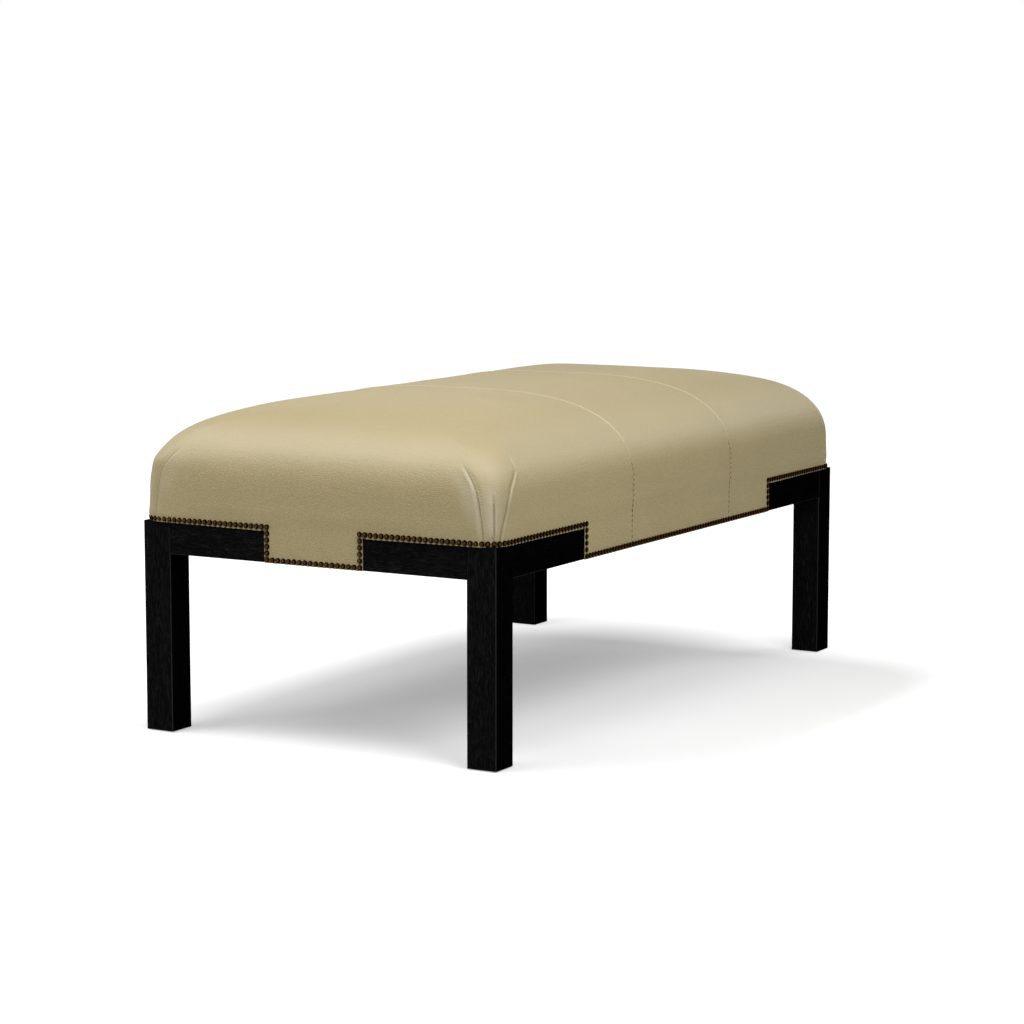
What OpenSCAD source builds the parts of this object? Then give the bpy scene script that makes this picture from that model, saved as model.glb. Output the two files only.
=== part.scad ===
// Cocktail ottoman: a crowned, leather-covered cushion on a low show-wood frame.
// The cover is three sewn panels. Its hem follows the frame in steps, with an apron down the middle
// of each side, and one row of domed nails runs all the way round it.
// X runs along the length, Y across the width, Z up from the floor at the middle of the footprint.

/* [Overall] */
// Length over the legs, along X
body_l = 1175; // [1120:5:1300]
// Width over the legs, along Y
body_w = 621; // [580:1:690]
// Height of the show-wood frame above the floor
wood_h = 325; // [260:1:400]
// Height of the cushion above the show wood, at the top of its crown
cushion_h = 184; // [160:1:220]

/* [Legs and rails] */
// Side of the square legs
leg_w = 49; // [44:1:60]
// Chamfer along the edges of the legs and rails
arris = 1.2; // [0.6:0.1:3]
// Height of the rails
rail_h = 49; // [42:1:60]
// Thickness of the rails
rail_t = 24; // [22:1:28]
// Wood left in a leg between the end of a tenon and the leg's outer face
tenon_wall = 22; // [20:1:26]
// Thickness of each rail tenon
tenon_t = 10; // [8:0.5:11]
// Distance of each tenon from the outer face of its rail
tenon_set = 7; // [6:0.5:9]
// Height of the shoulder above and below each tenon
tenon_shoulder = 6; // [4:1:10]
// Clearance round a tenon, a dowel or a glide pin
joint_gap = 0.15; // [0.05:0.05:0.3]
// Diameter of the nylon glide under each leg
glide_d = 26; // [18:1:36]
// Thickness of the glide under the leg
glide_h = 1.5; // [1:0.5:4]
// Diameter of the glide's pin
glide_pin_d = 3; // [2:0.5:5]
// Length of the glide's pin
glide_pin_l = 16; // [10:1:24]

/* [Corner blocks and screws] */
// Length of a corner block that bears on each rail beyond the leg
block_bearing_l = 71; // [60:1:90]
// Height of a corner block
block_h = 38; // [34:1:42]
// Clearance between a corner block and the leg
block_gap = 0.3; // [0.2:0.1:0.6]
// Length of a corner block's screw under its head
block_screw_l = 56; // [48:1:60]
// Height between the two screws of a corner block
block_screw_pitch = 18; // [14:1:22]
// Shank diameter of the screws
screw_d = 4.5; // [4:0.5:5]
// Head diameter of the screws
screw_head_d = 9; // [8:0.5:10]
// Head height of the screws
screw_head_h = 3; // [2:0.5:4]
// Clearance round a screw's shank and head, on the radius
screw_gap = 0.25; // [0.1:0.05:0.5]
// Depth of the counterbore under a rail
counterbore = 12; // [8:1:18]
// Length of a deck screw under its head
deck_screw_l = 60; // [50:1:70]
// Distance of the deck screws from the outer face of a rail
deck_screw_set = 15.5; // [15:0.5:16.5]
// Distance of the screws in a short rail from its middle
short_screw_x = 110; // [80:1:140]

/* [Deck] */
// Thickness of the deck boards
board_t = 22; // [21:1:26]
// Height of the deck boards
board_h = 45; // [40:1:50]
// Width of a deck stretcher
stretcher_t = 22; // [18:1:30]
// Height of a deck stretcher
stretcher_h = 33; // [30:1:36]
// Distance between the deck stretchers
stretcher_pitch = 290; // [240:5:310]
// Diameter of the dowels
dowel_d = 8; // [6:1:9]
// Length of the dowels
dowel_l = 28; // [24:1:30]
// Depth of a dowel in the long board
dowel_in = 9; // [6:1:10]
// Height of the lower dowels above the show wood
dowel_low = 15; // [12:1:16]
// Height between the upper and the lower dowel of a joint
dowel_pitch = 13; // [11:1:14]
// Width of the webbing
web_w = 57; // [45:1:60]
// Thickness of the webbing
web_t = 1.2; // [0.8:0.1:2]
// Space between two strips of webbing
web_space = 38; // [25:1:60]
// Distance of the webbing's folded ends from the edge of the deck
web_margin = 4; // [3:0.5:6]
// Thickness of the deck cloth
deck_cloth_t = 0.8; // [0.5:0.1:1.5]
// Distance of the deck cloth from the edge of the deck
cloth_margin = 3; // [2:0.5:6]
// Thickness of the black dust cover
cover_t = 0.6; // [0.4:0.1:1]
// Distance of the dust cover from the outer faces of the rails
cover_margin = 6; // [4:1:10]

/* [Cushion] */
// Thickness of the leather
leather_t = 1.4; // [1:0.1:2]
// Clearance between the leather and the wood behind it
leather_gap = 0.3; // [0.2:0.1:0.6]
// Clearance between the leather and the foam
foam_gap = 0.3; // [0.2:0.1:0.6]
// Bulge of the sides above the hem
side_bulge = 2.6; // [0:0.1:5]
// Height over which the sides swell out from the hem
tuck_h = 32; // [24:1:40]
// Height of the sides, from the hem to the start of the crown
side_h = 56.5; // [52:0.5:66]
// Distance over which the crown rises from a long side
crown_run_y = 345; // [330:1:380]
// Distance over which the crown rises from a short side
crown_run_x = 310; // [280:1:330]
// Power of the crown's curve along the top
crown_top_power = 3.45; // [2.6:0.05:4]
// Power of the crown's curve along the side
crown_side_power = 2.34; // [2:0.02:2.6]
// Half the width of the flat along the top of the crown
ridge_w = 14; // [10:1:20]
// Corner radius of the cushion at the hem, seen from above
corner_r = 33.3; // [28:0.1:40]
// Growth of the corner radius from the hem to the shoulder
corner_swell_r = 9.9; // [0:0.1:14]
// Height over which the corner radius grows
swell_h = 110; // [90:1:130]
// Power with which the corners open out towards the top
corner_power = 8; // [5:0.5:12]
// Distance of each seam from the middle
seam_x = 172; // [150:1:190]
// Depth of the seams
seam_dip = 0.8; // [0.4:0.1:0.9]
// Width of the leather drawn down to a seam
seam_land = 6; // [4:0.5:10]
// Height of the folds at the corners
pleat_h = 2; // [0.5:0.1:3]
// Height over which the folds come up from the nails
pleat_start = 16; // [10:1:24]
// Angle from a corner's middle to its folds, at the hem, in degrees
fold_hem_angle = 16; // [12:1:20]
// Angle from a corner's middle to its folds, at their top, in degrees
fold_top_angle = 39; // [30:1:40]
// Height of the folds above the hem
fold_h = 118; // [90:1:130]
// Height of the crease down the middle of each corner
crease_h = 84; // [60:1:100]
// Height at which the lower foam slab ends, above its underside
slab_h = 70; // [60:1:90]

/* [Aprons and nails] */
// Length of rail left bare between a leg and the apron, on a long side
long_reveal = 213; // [190:1:240]
// Length of rail left bare between a leg and the apron, on a short side
short_reveal = 175; // [150:1:190]
// Diameter of a nail's head
nail_d = 8.4; // [7:0.1:9]
// Height of a nail's head
nail_h = 2.9; // [2.2:0.1:3.5]
// Diameter of a nail's shank
nail_shank_d = 1.6; // [1.2:0.1:2]
// Length of a nail's shank
nail_shank_l = 11; // [9:0.5:12]
// Distance between two nails
nail_pitch = 9.4; // [9.2:0.1:12]
// Distance of the nails from the edge of the leather
nail_set = 4.8; // [4.3:0.1:6]

/* [Hidden] */
$fn = 48;
cut = 1;

leather_color = "#c8bd94";
wood_color = "#1e1a18";
deck_wood_color = "#c9a877";
foam_color = "#ece3c0";
web_color = "#a98f63";
cloth_color = "#2a2a2c";
nail_color = "#7d6038";
steel_color = "#a8a9a6";
nylon_color = "#e6e3da";

half_l = body_l / 2;
half_w = body_w / 2;
rail_z = wood_h - rail_h;
deck_top = wood_h + board_h;
web_top = deck_top + 2 * web_t;
cloth_top = web_top + deck_cloth_t;
foam_z = cloth_top + foam_gap;
proud = leather_gap + leather_t;
face_x = half_l + proud;
face_y = half_w + proud;
deck_corner_r = corner_r - proud;
crown_z = wood_h + side_h;
crown_h = cushion_h - side_h;
apron_x = half_l - leg_w - long_reveal;
apron_y = half_w - leg_w - short_reveal;
leg_bottom = glide_h;
tenon_l = leg_w - tenon_wall;
block_leg = leg_w - rail_t + block_bearing_l;
deck_screw_z = rail_z + counterbore;

// Shapes that several pieces share

// Copies the piece of the +X +Y corner to the corner that the two signs name
module at_corner(sx, sy) {
    mirror([sx < 0 ? 1 : 0, 0, 0]) mirror([0, sy < 0 ? 1 : 0, 0]) children();
}

// Rectangle from the origin with a chamfer at each corner
module eased_rectangle(w, h, c) {
    polygon([[c, 0], [w - c, 0], [w, c], [w, h - c], [w - c, h], [c, h], [0, h - c], [0, c]]);
}

// Rectangle about the origin with round corners
module round_rectangle(w, h, r) {
    square([w - 2 * r, h], center = true);
    square([w, h - 2 * r], center = true);
    for (x = [-1, 1], y = [-1, 1]) translate([x * (w / 2 - r), y * (h / 2 - r)]) circle(r);
}

// Screw along +Z with the underside of its head at the origin
module screw(l) {
    cylinder(h = l, d = screw_d);
    translate([0, 0, -screw_head_h]) cylinder(h = screw_head_h, d = screw_head_d);
}

// Show-wood legs and rails

function mortise_w() = tenon_t + 2 * joint_gap;
function mortise_h() = rail_h - 2 * tenon_shoulder + 2 * joint_gap;

module leg() {
    mortise_z = rail_z + tenon_shoulder - joint_gap;
    color(wood_color) difference() {
        translate([half_l - leg_w, half_w - leg_w, leg_bottom])
            linear_extrude(wood_h - leg_bottom) eased_rectangle(leg_w, leg_w, arris);
        translate([half_l - leg_w - cut, half_w - tenon_set - tenon_t - joint_gap, mortise_z])
            cube([tenon_l + joint_gap + cut, mortise_w(), mortise_h()]);
        translate([half_l - tenon_set - tenon_t - joint_gap, half_w - leg_w - cut, mortise_z])
            cube([mortise_w(), tenon_l + joint_gap + cut, mortise_h()]);
        translate([half_l - leg_w / 2, half_w - leg_w / 2, leg_bottom - cut])
            cylinder(h = glide_pin_l + joint_gap + cut, d = glide_pin_d + 2 * joint_gap);
        block_screw_holes(screw_d + 2 * screw_gap, block_screw_l + screw_gap);
    }
}

module glide() {
    color(nylon_color) translate([half_l - leg_w / 2, half_w - leg_w / 2, 0]) {
        cylinder(h = glide_h, d = glide_d);
        cylinder(h = glide_h + glide_pin_l, d = glide_pin_d);
    }
}

// Rail along X whose outer face is in the plane y = 0, with its body towards -y, centred on x = 0
module rail(span, holes) {
    tenon_h = rail_h - 2 * tenon_shoulder;
    difference() {
        union() {
            translate([-span / 2, -rail_t, rail_z]) rotate([90, 0, 90])
                linear_extrude(span) eased_rectangle(rail_t, rail_h, arris);
            translate([-span / 2 - tenon_l, -tenon_set - tenon_t, rail_z + tenon_shoulder])
                cube([span + 2 * tenon_l, tenon_t, tenon_h]);
        }
        for (x = holes) translate([x, -deck_screw_set, rail_z]) {
            translate([0, 0, -cut]) cylinder(h = rail_h + 2 * cut, d = screw_d + 2 * screw_gap);
            translate([0, 0, -cut]) cylinder(h = counterbore + cut, d = screw_head_d + 2 * screw_gap);
        }
    }
}

long_holes = [for (k = [-1.5:1:1.5]) k * stretcher_pitch];
short_holes = [-short_screw_x, short_screw_x];

module long_rail() {
    color(wood_color) translate([0, half_w, 0]) rail(body_l - 2 * leg_w, long_holes);
}

module short_rail() {
    color(wood_color) translate([half_l, 0, 0]) rotate(-90) rail(body_w - 2 * leg_w, short_holes);
}

// Corner blocks, notched round the leg, and their screws

block_z = wood_h - block_h;
block_head = block_leg / sqrt(2) - screw_head_h - screw_gap;

// Runs its children along the +X +Y corner's diagonal, from the block's long face towards the leg
module on_diagonal(z) {
    inner_x = half_l - rail_t;
    inner_y = half_w - rail_t;
    d = block_head / sqrt(2);
    translate([inner_x - d, inner_y - d, z]) rotate([0, 90, 45]) children();
}

block_screw_heights = [for (s = [-0.5, 0.5]) block_z + block_h / 2 + s * block_screw_pitch];

module block_screw_holes(d, l) {
    for (z = block_screw_heights) on_diagonal(z) translate([0, 0, -cut]) cylinder(h = l + cut, d = d);
}

module corner_block() {
    color(deck_wood_color) difference() {
        translate([half_l - rail_t, half_w - rail_t, block_z]) linear_extrude(block_h)
            polygon([[0, 0], [-block_leg, 0], [0, -block_leg]]);
        translate([half_l - leg_w - block_gap, half_w - leg_w - block_gap, block_z - cut])
            cube([leg_w, leg_w, block_h + 2 * cut]);
        block_screw_holes(screw_d + 2 * screw_gap, block_screw_l);
        for (z = block_screw_heights) on_diagonal(z) translate([0, 0, -2 * screw_head_d])
            cylinder(h = 2 * screw_head_d, d = screw_head_d + 2 * screw_gap);
    }
}

module block_screws() {
    color(steel_color) for (sx = [-1, 1], sy = [-1, 1]) at_corner(sx, sy)
        for (z = block_screw_heights) on_diagonal(z) screw(block_screw_l);
}

// Deck frame: four boards, three stretchers, dowels and the screws that hold it to the rails

stretcher_x = [-stretcher_pitch, 0, stretcher_pitch];
dowel_heights = [wood_h + dowel_low, wood_h + dowel_low + dowel_pitch];
short_dowel_x = half_l - board_t / 2;

// Dowels of one joint, through the plane where an end meets the inner face of the long board
module joint_dowels(x, gap) {
    for (z = dowel_heights) translate([x, half_w - board_t + dowel_in + gap, z]) rotate([90, 0, 0])
        cylinder(h = dowel_l + 2 * gap, d = dowel_d + 2 * gap);
}

// All the dowels of the long board at y = half_w
module board_dowels(gap) {
    for (x = stretcher_x) joint_dowels(x, gap);
    for (sx = [-1, 1]) joint_dowels(sx * short_dowel_x, gap);
}

module deck_outline() {
    translate([0, 0, wood_h]) linear_extrude(board_h) round_rectangle(body_l, body_w, deck_corner_r);
}

// Pilot holes for the deck screws over the rail at y = half_w, or over the one at x = half_l
module deck_screw_pilots() {
    h = deck_screw_z + deck_screw_l + screw_gap;
    d = screw_d + 2 * screw_gap;
    for (x = long_holes) translate([x, half_w - deck_screw_set, 0]) cylinder(h = h, d = d);
    for (y = short_holes) translate([half_l - deck_screw_set, y, 0]) cylinder(h = h, d = d);
}

module long_board() {
    color(deck_wood_color) difference() {
        intersection() {
            deck_outline();
            translate([-half_l, half_w - board_t, wood_h]) cube([body_l, board_t, board_h]);
        }
        deck_screw_pilots();
        board_dowels(joint_gap);
    }
}

module short_board() {
    inner_w = body_w - 2 * board_t;
    color(deck_wood_color) difference() {
        intersection() {
            deck_outline();
            translate([half_l - board_t, -inner_w / 2, wood_h]) cube([board_t, inner_w, board_h]);
        }
        deck_screw_pilots();
        for (sy = [-1, 1]) at_corner(1, sy) board_dowels(joint_gap);
    }
}

module stretcher(x) {
    inner_w = body_w - 2 * board_t;
    color(deck_wood_color) difference() {
        translate([x - stretcher_t / 2, -inner_w / 2, wood_h]) cube([stretcher_t, inner_w, stretcher_h]);
        for (sy = [-1, 1]) at_corner(1, sy) board_dowels(joint_gap);
    }
}

module deck_dowels() {
    color(deck_wood_color) for (sy = [-1, 1]) at_corner(1, sy) board_dowels(0);
}

module deck_screws() {
    color(steel_color) for (s = [-1, 1]) {
        y_long = s * (half_w - deck_screw_set);
        x_short = s * (half_l - deck_screw_set);
        for (x = long_holes) translate([x, y_long, deck_screw_z]) screw(deck_screw_l);
        for (y = short_holes) translate([x_short, y, deck_screw_z]) screw(deck_screw_l);
    }
}

// Webbing, deck cloth and dust cover

// Places of the strips that fit across a span, evenly about its middle
function strip_places(span) =
    let (n = floor((span + web_space) / (web_w + web_space)), pitch = (span - web_w) / (n - 1))
    [for (k = [0:n - 1]) -span / 2 + web_w / 2 + k * pitch];

// One strip along X, whose ends are folded double on the boards
module web_strip(length, z) {
    fold_l = board_t - 2 * web_margin;
    translate([-length / 2, -web_w / 2, z]) cube([length, web_w, web_t]);
    for (s = [-1, 1]) translate([s * (length - fold_l) / 2, 0, deck_top + web_t])
        cube([fold_l, web_w, 2 * web_t], center = true);
}

module webbing_lengthwise() {
    span = body_w - 2 * board_t - 2 * web_margin;
    color(web_color) for (y = strip_places(span)) translate([0, y, 0])
        web_strip(body_l - 2 * web_margin, deck_top);
}

module webbing_crosswise() {
    span = body_l - 2 * board_t - 2 * web_margin;
    color(web_color) for (x = strip_places(span)) translate([x, 0, 0]) rotate(90)
        web_strip(body_w - 2 * web_margin, deck_top + web_t);
}

module deck_cloth() {
    w = body_l - 2 * cloth_margin;
    h = body_w - 2 * cloth_margin;
    color(web_color) translate([0, 0, web_top])
        linear_extrude(deck_cloth_t) round_rectangle(w, h, deck_corner_r - cloth_margin);
}

module dust_cover() {
    leg_room = leg_w + block_gap;
    color(cloth_color) translate([0, 0, rail_z - cover_t]) linear_extrude(cover_t) difference() {
        square([body_l - 2 * cover_margin, body_w - 2 * cover_margin], center = true);
        for (sx = [-1, 1], sy = [-1, 1]) at_corner(sx, sy)
            translate([half_l - leg_room, half_w - leg_room]) square(leg_room);
    }
}

// Surface of the cushion. A row is [height on the side, angle up the crown], and the crown is a
// superellipse. A column is a place along the quarter of the outline from the apron of a short side
// to a seam. Both give a point in the +X +Y quarter, set in by off.

function clamped(t) = max(0, min(1, t));
function smooth(t) = let (u = clamped(t)) u * u * (3 - 2 * u);
function bulge(z) = side_bulge * smooth((z - wood_h) / tuck_h);
function rise(a, off) = (crown_h - off) * pow(sin(a), 2 / crown_side_power);
function crown_inset(a, run) = run * (1 - pow(cos(a), 2 / crown_top_power));

// Angle at which the crown has come in to the flat along the top
ridge_angle = acos(pow(max(0, 1 - (face_y - ridge_w) / crown_run_y), crown_top_power / 2));

// Outline of one row: height, half length, half width, the two corner radii and the fold angle
function outline(row, off) =
    let (z = row[0] + rise(row[1], off),
         out = bulge(row[0]) - off,
         a = face_x + out - crown_inset(row[1], crown_run_x - off),
         b = face_y + out - crown_inset(row[1], crown_run_y - off),
         open = pow(sin(row[1]), corner_power),
         r = corner_r + out + corner_swell_r * clamped((z - wood_h) / swell_h),
         rx = r + (a - seam_x - 3 * seam_land - r) * open,
         ry = min(r + (b - r) * open, 0.9 * b))
    [z, a, b, rx, ry, fold_hem_angle + (fold_top_angle - fold_hem_angle) * clamped((z - wood_h) / fold_h)];

// Columns: END along the short side, ARC round the corner, LONG along the long side to the seam
END = 0;
ARC = 1;
LONG = 2;
foot_angle = 4;
crease_angle = 3;

// Corner columns as [share of the fold angle from the corner's middle, further angle, height of
// the fold]
corner_columns = [
    [-1, -foot_angle, 0], [-1, 0, 1], [-1, foot_angle, -0.15], [-0.5, 0, 0.1],
    [0, -crease_angle, 0.25], [0, 0, -0.2], [0, crease_angle, 0.25],
    [0.5, 0, 0.1], [1, -foot_angle, -0.15], [1, 0, 1], [1, foot_angle, 0]
];
apron_share_y = apron_y / (face_y - corner_r);
apron_share_x = (apron_x - seam_x) / (face_x - corner_r - seam_x);
quarter = concat(
    [[END, apron_share_y], [END, 1]],
    [for (c = corner_columns) [ARC, c]],
    [[LONG, 1], [LONG, apron_share_x], [LONG, -1], [LONG, 0]]
);
last = len(quarter) - 1;
first_arc = 2;
apron_long = last - 2;

// Height of a fold on one row: folds fade out at their top, and the middle crease ends lower
function fold_height(c, z) =
    let (top = c[0] == 0 ? crease_h : fold_h, above = z - wood_h - nail_set - nail_d / 2)
    pleat_h * c[2] * smooth(above / pleat_start) * smooth(2 * (top - above) / top);

function place(col, row, off, fold) =
    let (o = outline(row, off), z = o[0], a = o[1], b = o[2], rx = o[3], ry = o[4], end_x = a - rx)
    col[0] == END ? [a, (b - ry) * col[1], z] :
    col[0] == LONG ? [col[1] < 0 ? seam_x + seam_land : seam_x + (end_x - seam_x) * col[1], b, z] :
    let (c = col[1], t = 45 + c[0] * o[5] + c[1], out = fold * fold_height(c, z))
    [end_x + (rx + out) * cos(t), b - ry + (ry + out) * sin(t), z];

side_steps = 3;
crown_steps = 11;
apron_rows = [[rail_z, 0]];
side_rows = concat([for (k = [0:side_steps]) [wood_h + tuck_h * k / side_steps, 0]], [[crown_z, 0]]);
crown_rows = [for (k = [1:crown_steps]) [crown_z, ridge_angle * k / crown_steps]];
leather_rows = concat(apron_rows, side_rows, crown_rows);

// Faces of a leather shell of nc columns. Its outer points come first, then its inner ones

function edge_faces(p, q, n) = [[q, p, n + p], [q, n + p, n + q]];

function cell_faces(a, b, c, d, n) = [[a, d, c], [a, c, b], [n + a, n + c, n + d], [n + a, n + b, n + c]];

function shell_faces(nc, nr, n, kept) = [
    for (j = [0:nr - 2], i = [0:nc - 2]) if (kept(i, j))
        let (a = j * nc + i, b = a + 1, c = b + nc, d = a + nc)
        each concat(
            cell_faces(a, b, c, d, n),
            i == 0 || !kept(i - 1, j) ? edge_faces(a, d, n) : [],
            i == nc - 2 || !kept(i + 1, j) ? edge_faces(c, b, n) : [],
            j == 0 || !kept(i, j - 1) ? edge_faces(b, a, n) : []
        )
];

// Faces that close the top row of an end panel: strips from its front half to its back half as far
// as column h, then a fan over the straight end
function top_faces(nc, top, n, h) =
    let (m = nc - 1) concat(
        [for (i = [0:h - 1])
            let (p = top + i, q = top + m - i)
            each [[p + 1, p, q], [p + 1, q, q - 1],
                  [n + p + 1, n + q, n + p], [n + p + 1, n + q - 1, n + q]]],
        [for (k = [top + h + 1:top + m - h - 1])
            each [[k + 1, k, top + h], [n + k + 1, n + top + h, n + k]]],
        edge_faces(top, top + m, n)
    );

function seam_off(col) = col[0] == LONG && col[1] == 0 ? seam_dip : 0;

// Left or right leather panel, drawn at +X: its columns run from the front seam round to the back one
module leather_end() {
    cols = concat(
        [for (k = [0:last]) [last - k, -1]],
        [for (k = [0:last]) [k, 1]]
    );
    nc = len(cols);
    nr = len(leather_rows);
    outer = [for (row = leather_rows, c = cols)
        let (q = quarter[c[0]], p = place(q, row, seam_off(q), 1)) [p[0], c[1] * p[1], p[2]]];
    inner = [for (row = leather_rows, c = cols)
        let (p = place(quarter[c[0]], row, leather_t, 0)) [p[0], c[1] * p[1], p[2]]];
    on_apron = function (i) cols[i][0] == cols[i + 1][0] || min(cols[i][0], cols[i + 1][0]) >= apron_long;
    kept = function (i, j) j > 0 || on_apron(i);
    n = nc * nr;
    color(leather_color) polyhedron(
        points = concat(outer, inner),
        faces = concat(shell_faces(nc, nr, n, kept), top_faces(nc, nc * (nr - 1), n, last - first_arc))
    );
}

// Middle leather panel: its rows run from the front hem over the top to the back hem
module leather_center() {
    xs = [-seam_x, -seam_x + seam_land, 0, seam_x - seam_land, seam_x];
    nr = len(leather_rows);
    rows = concat([for (k = [0:nr - 1]) [k, -1]], [for (k = [1:nr]) [nr - k, 1]]);
    nc = len(xs);
    seam = quarter[last];
    outer = [for (r = rows, x = xs)
        let (dip = abs(x) == seam_x ? seam_dip : 0, p = place(seam, leather_rows[r[0]], dip, 0))
            [x, r[1] * p[1], p[2]]];
    inner = [for (r = rows, x = xs)
        let (p = place(seam, leather_rows[r[0]], leather_t, 0)) [x, r[1] * p[1], p[2]]];
    n = nc * len(rows);
    kept = function (i, j) true;
    last_row = (len(rows) - 1) * nc;
    hem = [for (i = [0:nc - 2]) each edge_faces(last_row + i, last_row + i + 1, n)];
    color(leather_color) polyhedron(
        points = concat(outer, inner),
        faces = concat(shell_faces(nc, len(rows), n, kept), hem)
    );
}

// Closed solid through rings of points. Each ring starts on the straight of the +X end, and point i
// mirrors point n - 1 - i, so both lids are strips across Y with a fan over each straight end
module ring_solid(rings) {
    n = len(rings[0]);
    top = n * (len(rings) - 1);
    right = first_arc;
    left = n / 2 - 1 - first_arc;
    sides = [for (j = [0:len(rings) - 2], i = [0:n - 1])
        let (a = j * n + i, b = j * n + (i + 1) % n, c = b + n, d = a + n)
        each [[a, d, c], [a, c, b]]];
    lid = concat(
        [for (i = [right:left - 1]) each [[i + 1, i, n - 1 - i], [i + 1, n - 1 - i, n - 2 - i]]],
        [for (k = [n - 1 - right:n - 2 + right]) [(k + 1) % n, k % n, right]],
        [for (k = [left + 1:n - 2 - left]) [k + 1, k, left]]
    );
    top_lid = [for (f = lid) [for (v = f) v + top]];
    bottom_lid = [for (f = lid) [f[1], f[0], f[2]]];
    polyhedron(points = [for (ring = rings) each ring], faces = concat(sides, top_lid, bottom_lid));
}

// Foam fills the leather with the same rows and columns, set in by the leather and a clearance
foam_off = leather_t + foam_gap;

function foam_ring(row) =
    let (q1 = [for (c = quarter) place(c, row, foam_off, 0)],
         middle = [0, q1[last][1], q1[last][2]],
         back_right = concat(q1, [middle]),
         back_left = [for (k = [last:-1:0]) [-q1[k][0], q1[k][1], q1[k][2]]],
         upper = concat(back_right, back_left),
         lower = [for (k = [len(upper) - 1:-1:0]) [upper[k][0], -upper[k][1], upper[k][2]]])
    concat(upper, lower);

foam_rows = concat([[foam_z, 0], [crown_z, 0]], crown_rows);
function row_height(row) = row[0] + rise(row[1], foam_off);
slab_z = foam_z + slab_h;
slab_rows = [for (row = foam_rows) if (row_height(row) <= slab_z) row];
split = len(slab_rows) - 1;

module foam_base() {
    color(foam_color) ring_solid([for (k = [0:split]) foam_ring(foam_rows[k])]);
}

module foam_crown() {
    color(foam_color) ring_solid([for (k = [split:len(foam_rows) - 1]) foam_ring(foam_rows[k])]);
}

// Nails. Each is placed on the leather's face by its distance along the hem and its height

nail_z = wood_h + nail_set;
apron_nail_z = rail_z + nail_set;
dome_r = (nail_d * nail_d / 4 + nail_h * nail_h) / (2 * nail_h);

// One nail that points along -y, with its domed head standing on the plane y = 0
module nail() {
    rotate([-90, 0, 0]) {
        intersection() {
            translate([0, 0, nail_h - dome_r]) sphere(dome_r);
            cylinder(h = nail_h, d = nail_d);
        }
        translate([0, 0, -nail_shank_l]) cylinder(h = nail_shank_l + nail_h / 2, d = nail_shank_d);
    }
}

function spread(from, to) =
    let (n = max(1, round(abs(to - from) / nail_pitch)))
    [for (k = [1:n]) from + (to - from) * k / n];

// Nails along the lower edge of an apron, between the two nails at its corners
function apron_row(turn) =
    let (row = spread(-turn, turn)) [for (k = [0:len(row) - 2]) row[k]];

// Nails of one side from its apron's lower corner to the end of the straight, as [distance from the
// middle, height]
function half_side(apron, straight) =
    let (turn = apron - nail_set) concat(
        [[turn, apron_nail_z]],
        [for (z = spread(apron_nail_z, nail_z)) [turn, z]],
        [for (x = spread(turn, straight)) [x, nail_z]]
    );

corner_nails = round((corner_r + bulge(nail_z)) * PI / 4 / nail_pitch);

// Nails of the side at y = face, whose corners start at x = straight. One of the two sides that
// meet at a corner owns the nail in its middle
module nail_side(apron, straight, face, owns_corner) {
    color(nail_color) {
        for (x = apron_row(apron - nail_set)) translate([x, face, apron_nail_z]) nail();
        for (s = [-1, 1]) mirror([s < 0 ? 1 : 0, 0, 0]) {
            for (p = half_side(apron, straight)) translate([p[0], face + bulge(p[1]), p[1]]) nail();
            for (k = [1:corner_nails - (owns_corner ? 0 : 1)])
                translate([straight, face - corner_r, nail_z]) rotate(-45 * k / corner_nails)
                    translate([0, corner_r + bulge(nail_z), 0]) nail();
        }
    }
}

module nails_long() {
    nail_side(apron_x, face_x - corner_r, face_y, true);
}

module nails_short() {
    rotate(-90) nail_side(apron_y, face_y - corner_r, face_x, false);
}

at_corner(-1, -1) leg();  // leg_front_left
at_corner(1, -1) leg();  // leg_front_right
at_corner(-1, 1) leg();  // leg_back_left
at_corner(1, 1) leg();  // leg_back_right
at_corner(1, -1) long_rail();  // rail_front
long_rail();  // rail_back
at_corner(-1, 1) short_rail();  // rail_left
short_rail();  // rail_right
at_corner(-1, -1) corner_block();  // corner_block_front_left
at_corner(1, -1) corner_block();  // corner_block_front_right
at_corner(-1, 1) corner_block();  // corner_block_back_left
at_corner(1, 1) corner_block();  // corner_block_back_right
block_screws();
at_corner(-1, -1) glide();  // glide_front_left
at_corner(1, -1) glide();  // glide_front_right
at_corner(-1, 1) glide();  // glide_back_left
at_corner(1, 1) glide();  // glide_back_right
at_corner(1, -1) long_board();  // deck_board_front
long_board();  // deck_board_back
at_corner(-1, 1) short_board();  // deck_board_left
short_board();  // deck_board_right
stretcher(stretcher_x[0]);  // deck_stretcher_left
stretcher(stretcher_x[1]);  // deck_stretcher_center
stretcher(stretcher_x[2]);  // deck_stretcher_right
deck_dowels();
deck_screws();
webbing_lengthwise();
webbing_crosswise();
deck_cloth();
dust_cover();
foam_base();
foam_crown();
at_corner(-1, 1) leather_end();  // leather_left
leather_center();
leather_end();  // leather_right
at_corner(1, -1) nails_long();  // nails_front
nails_long();  // nails_back
at_corner(-1, 1) nails_short();  // nails_left
nails_short();  // nails_right
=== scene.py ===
import math
from functools import partial

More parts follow.
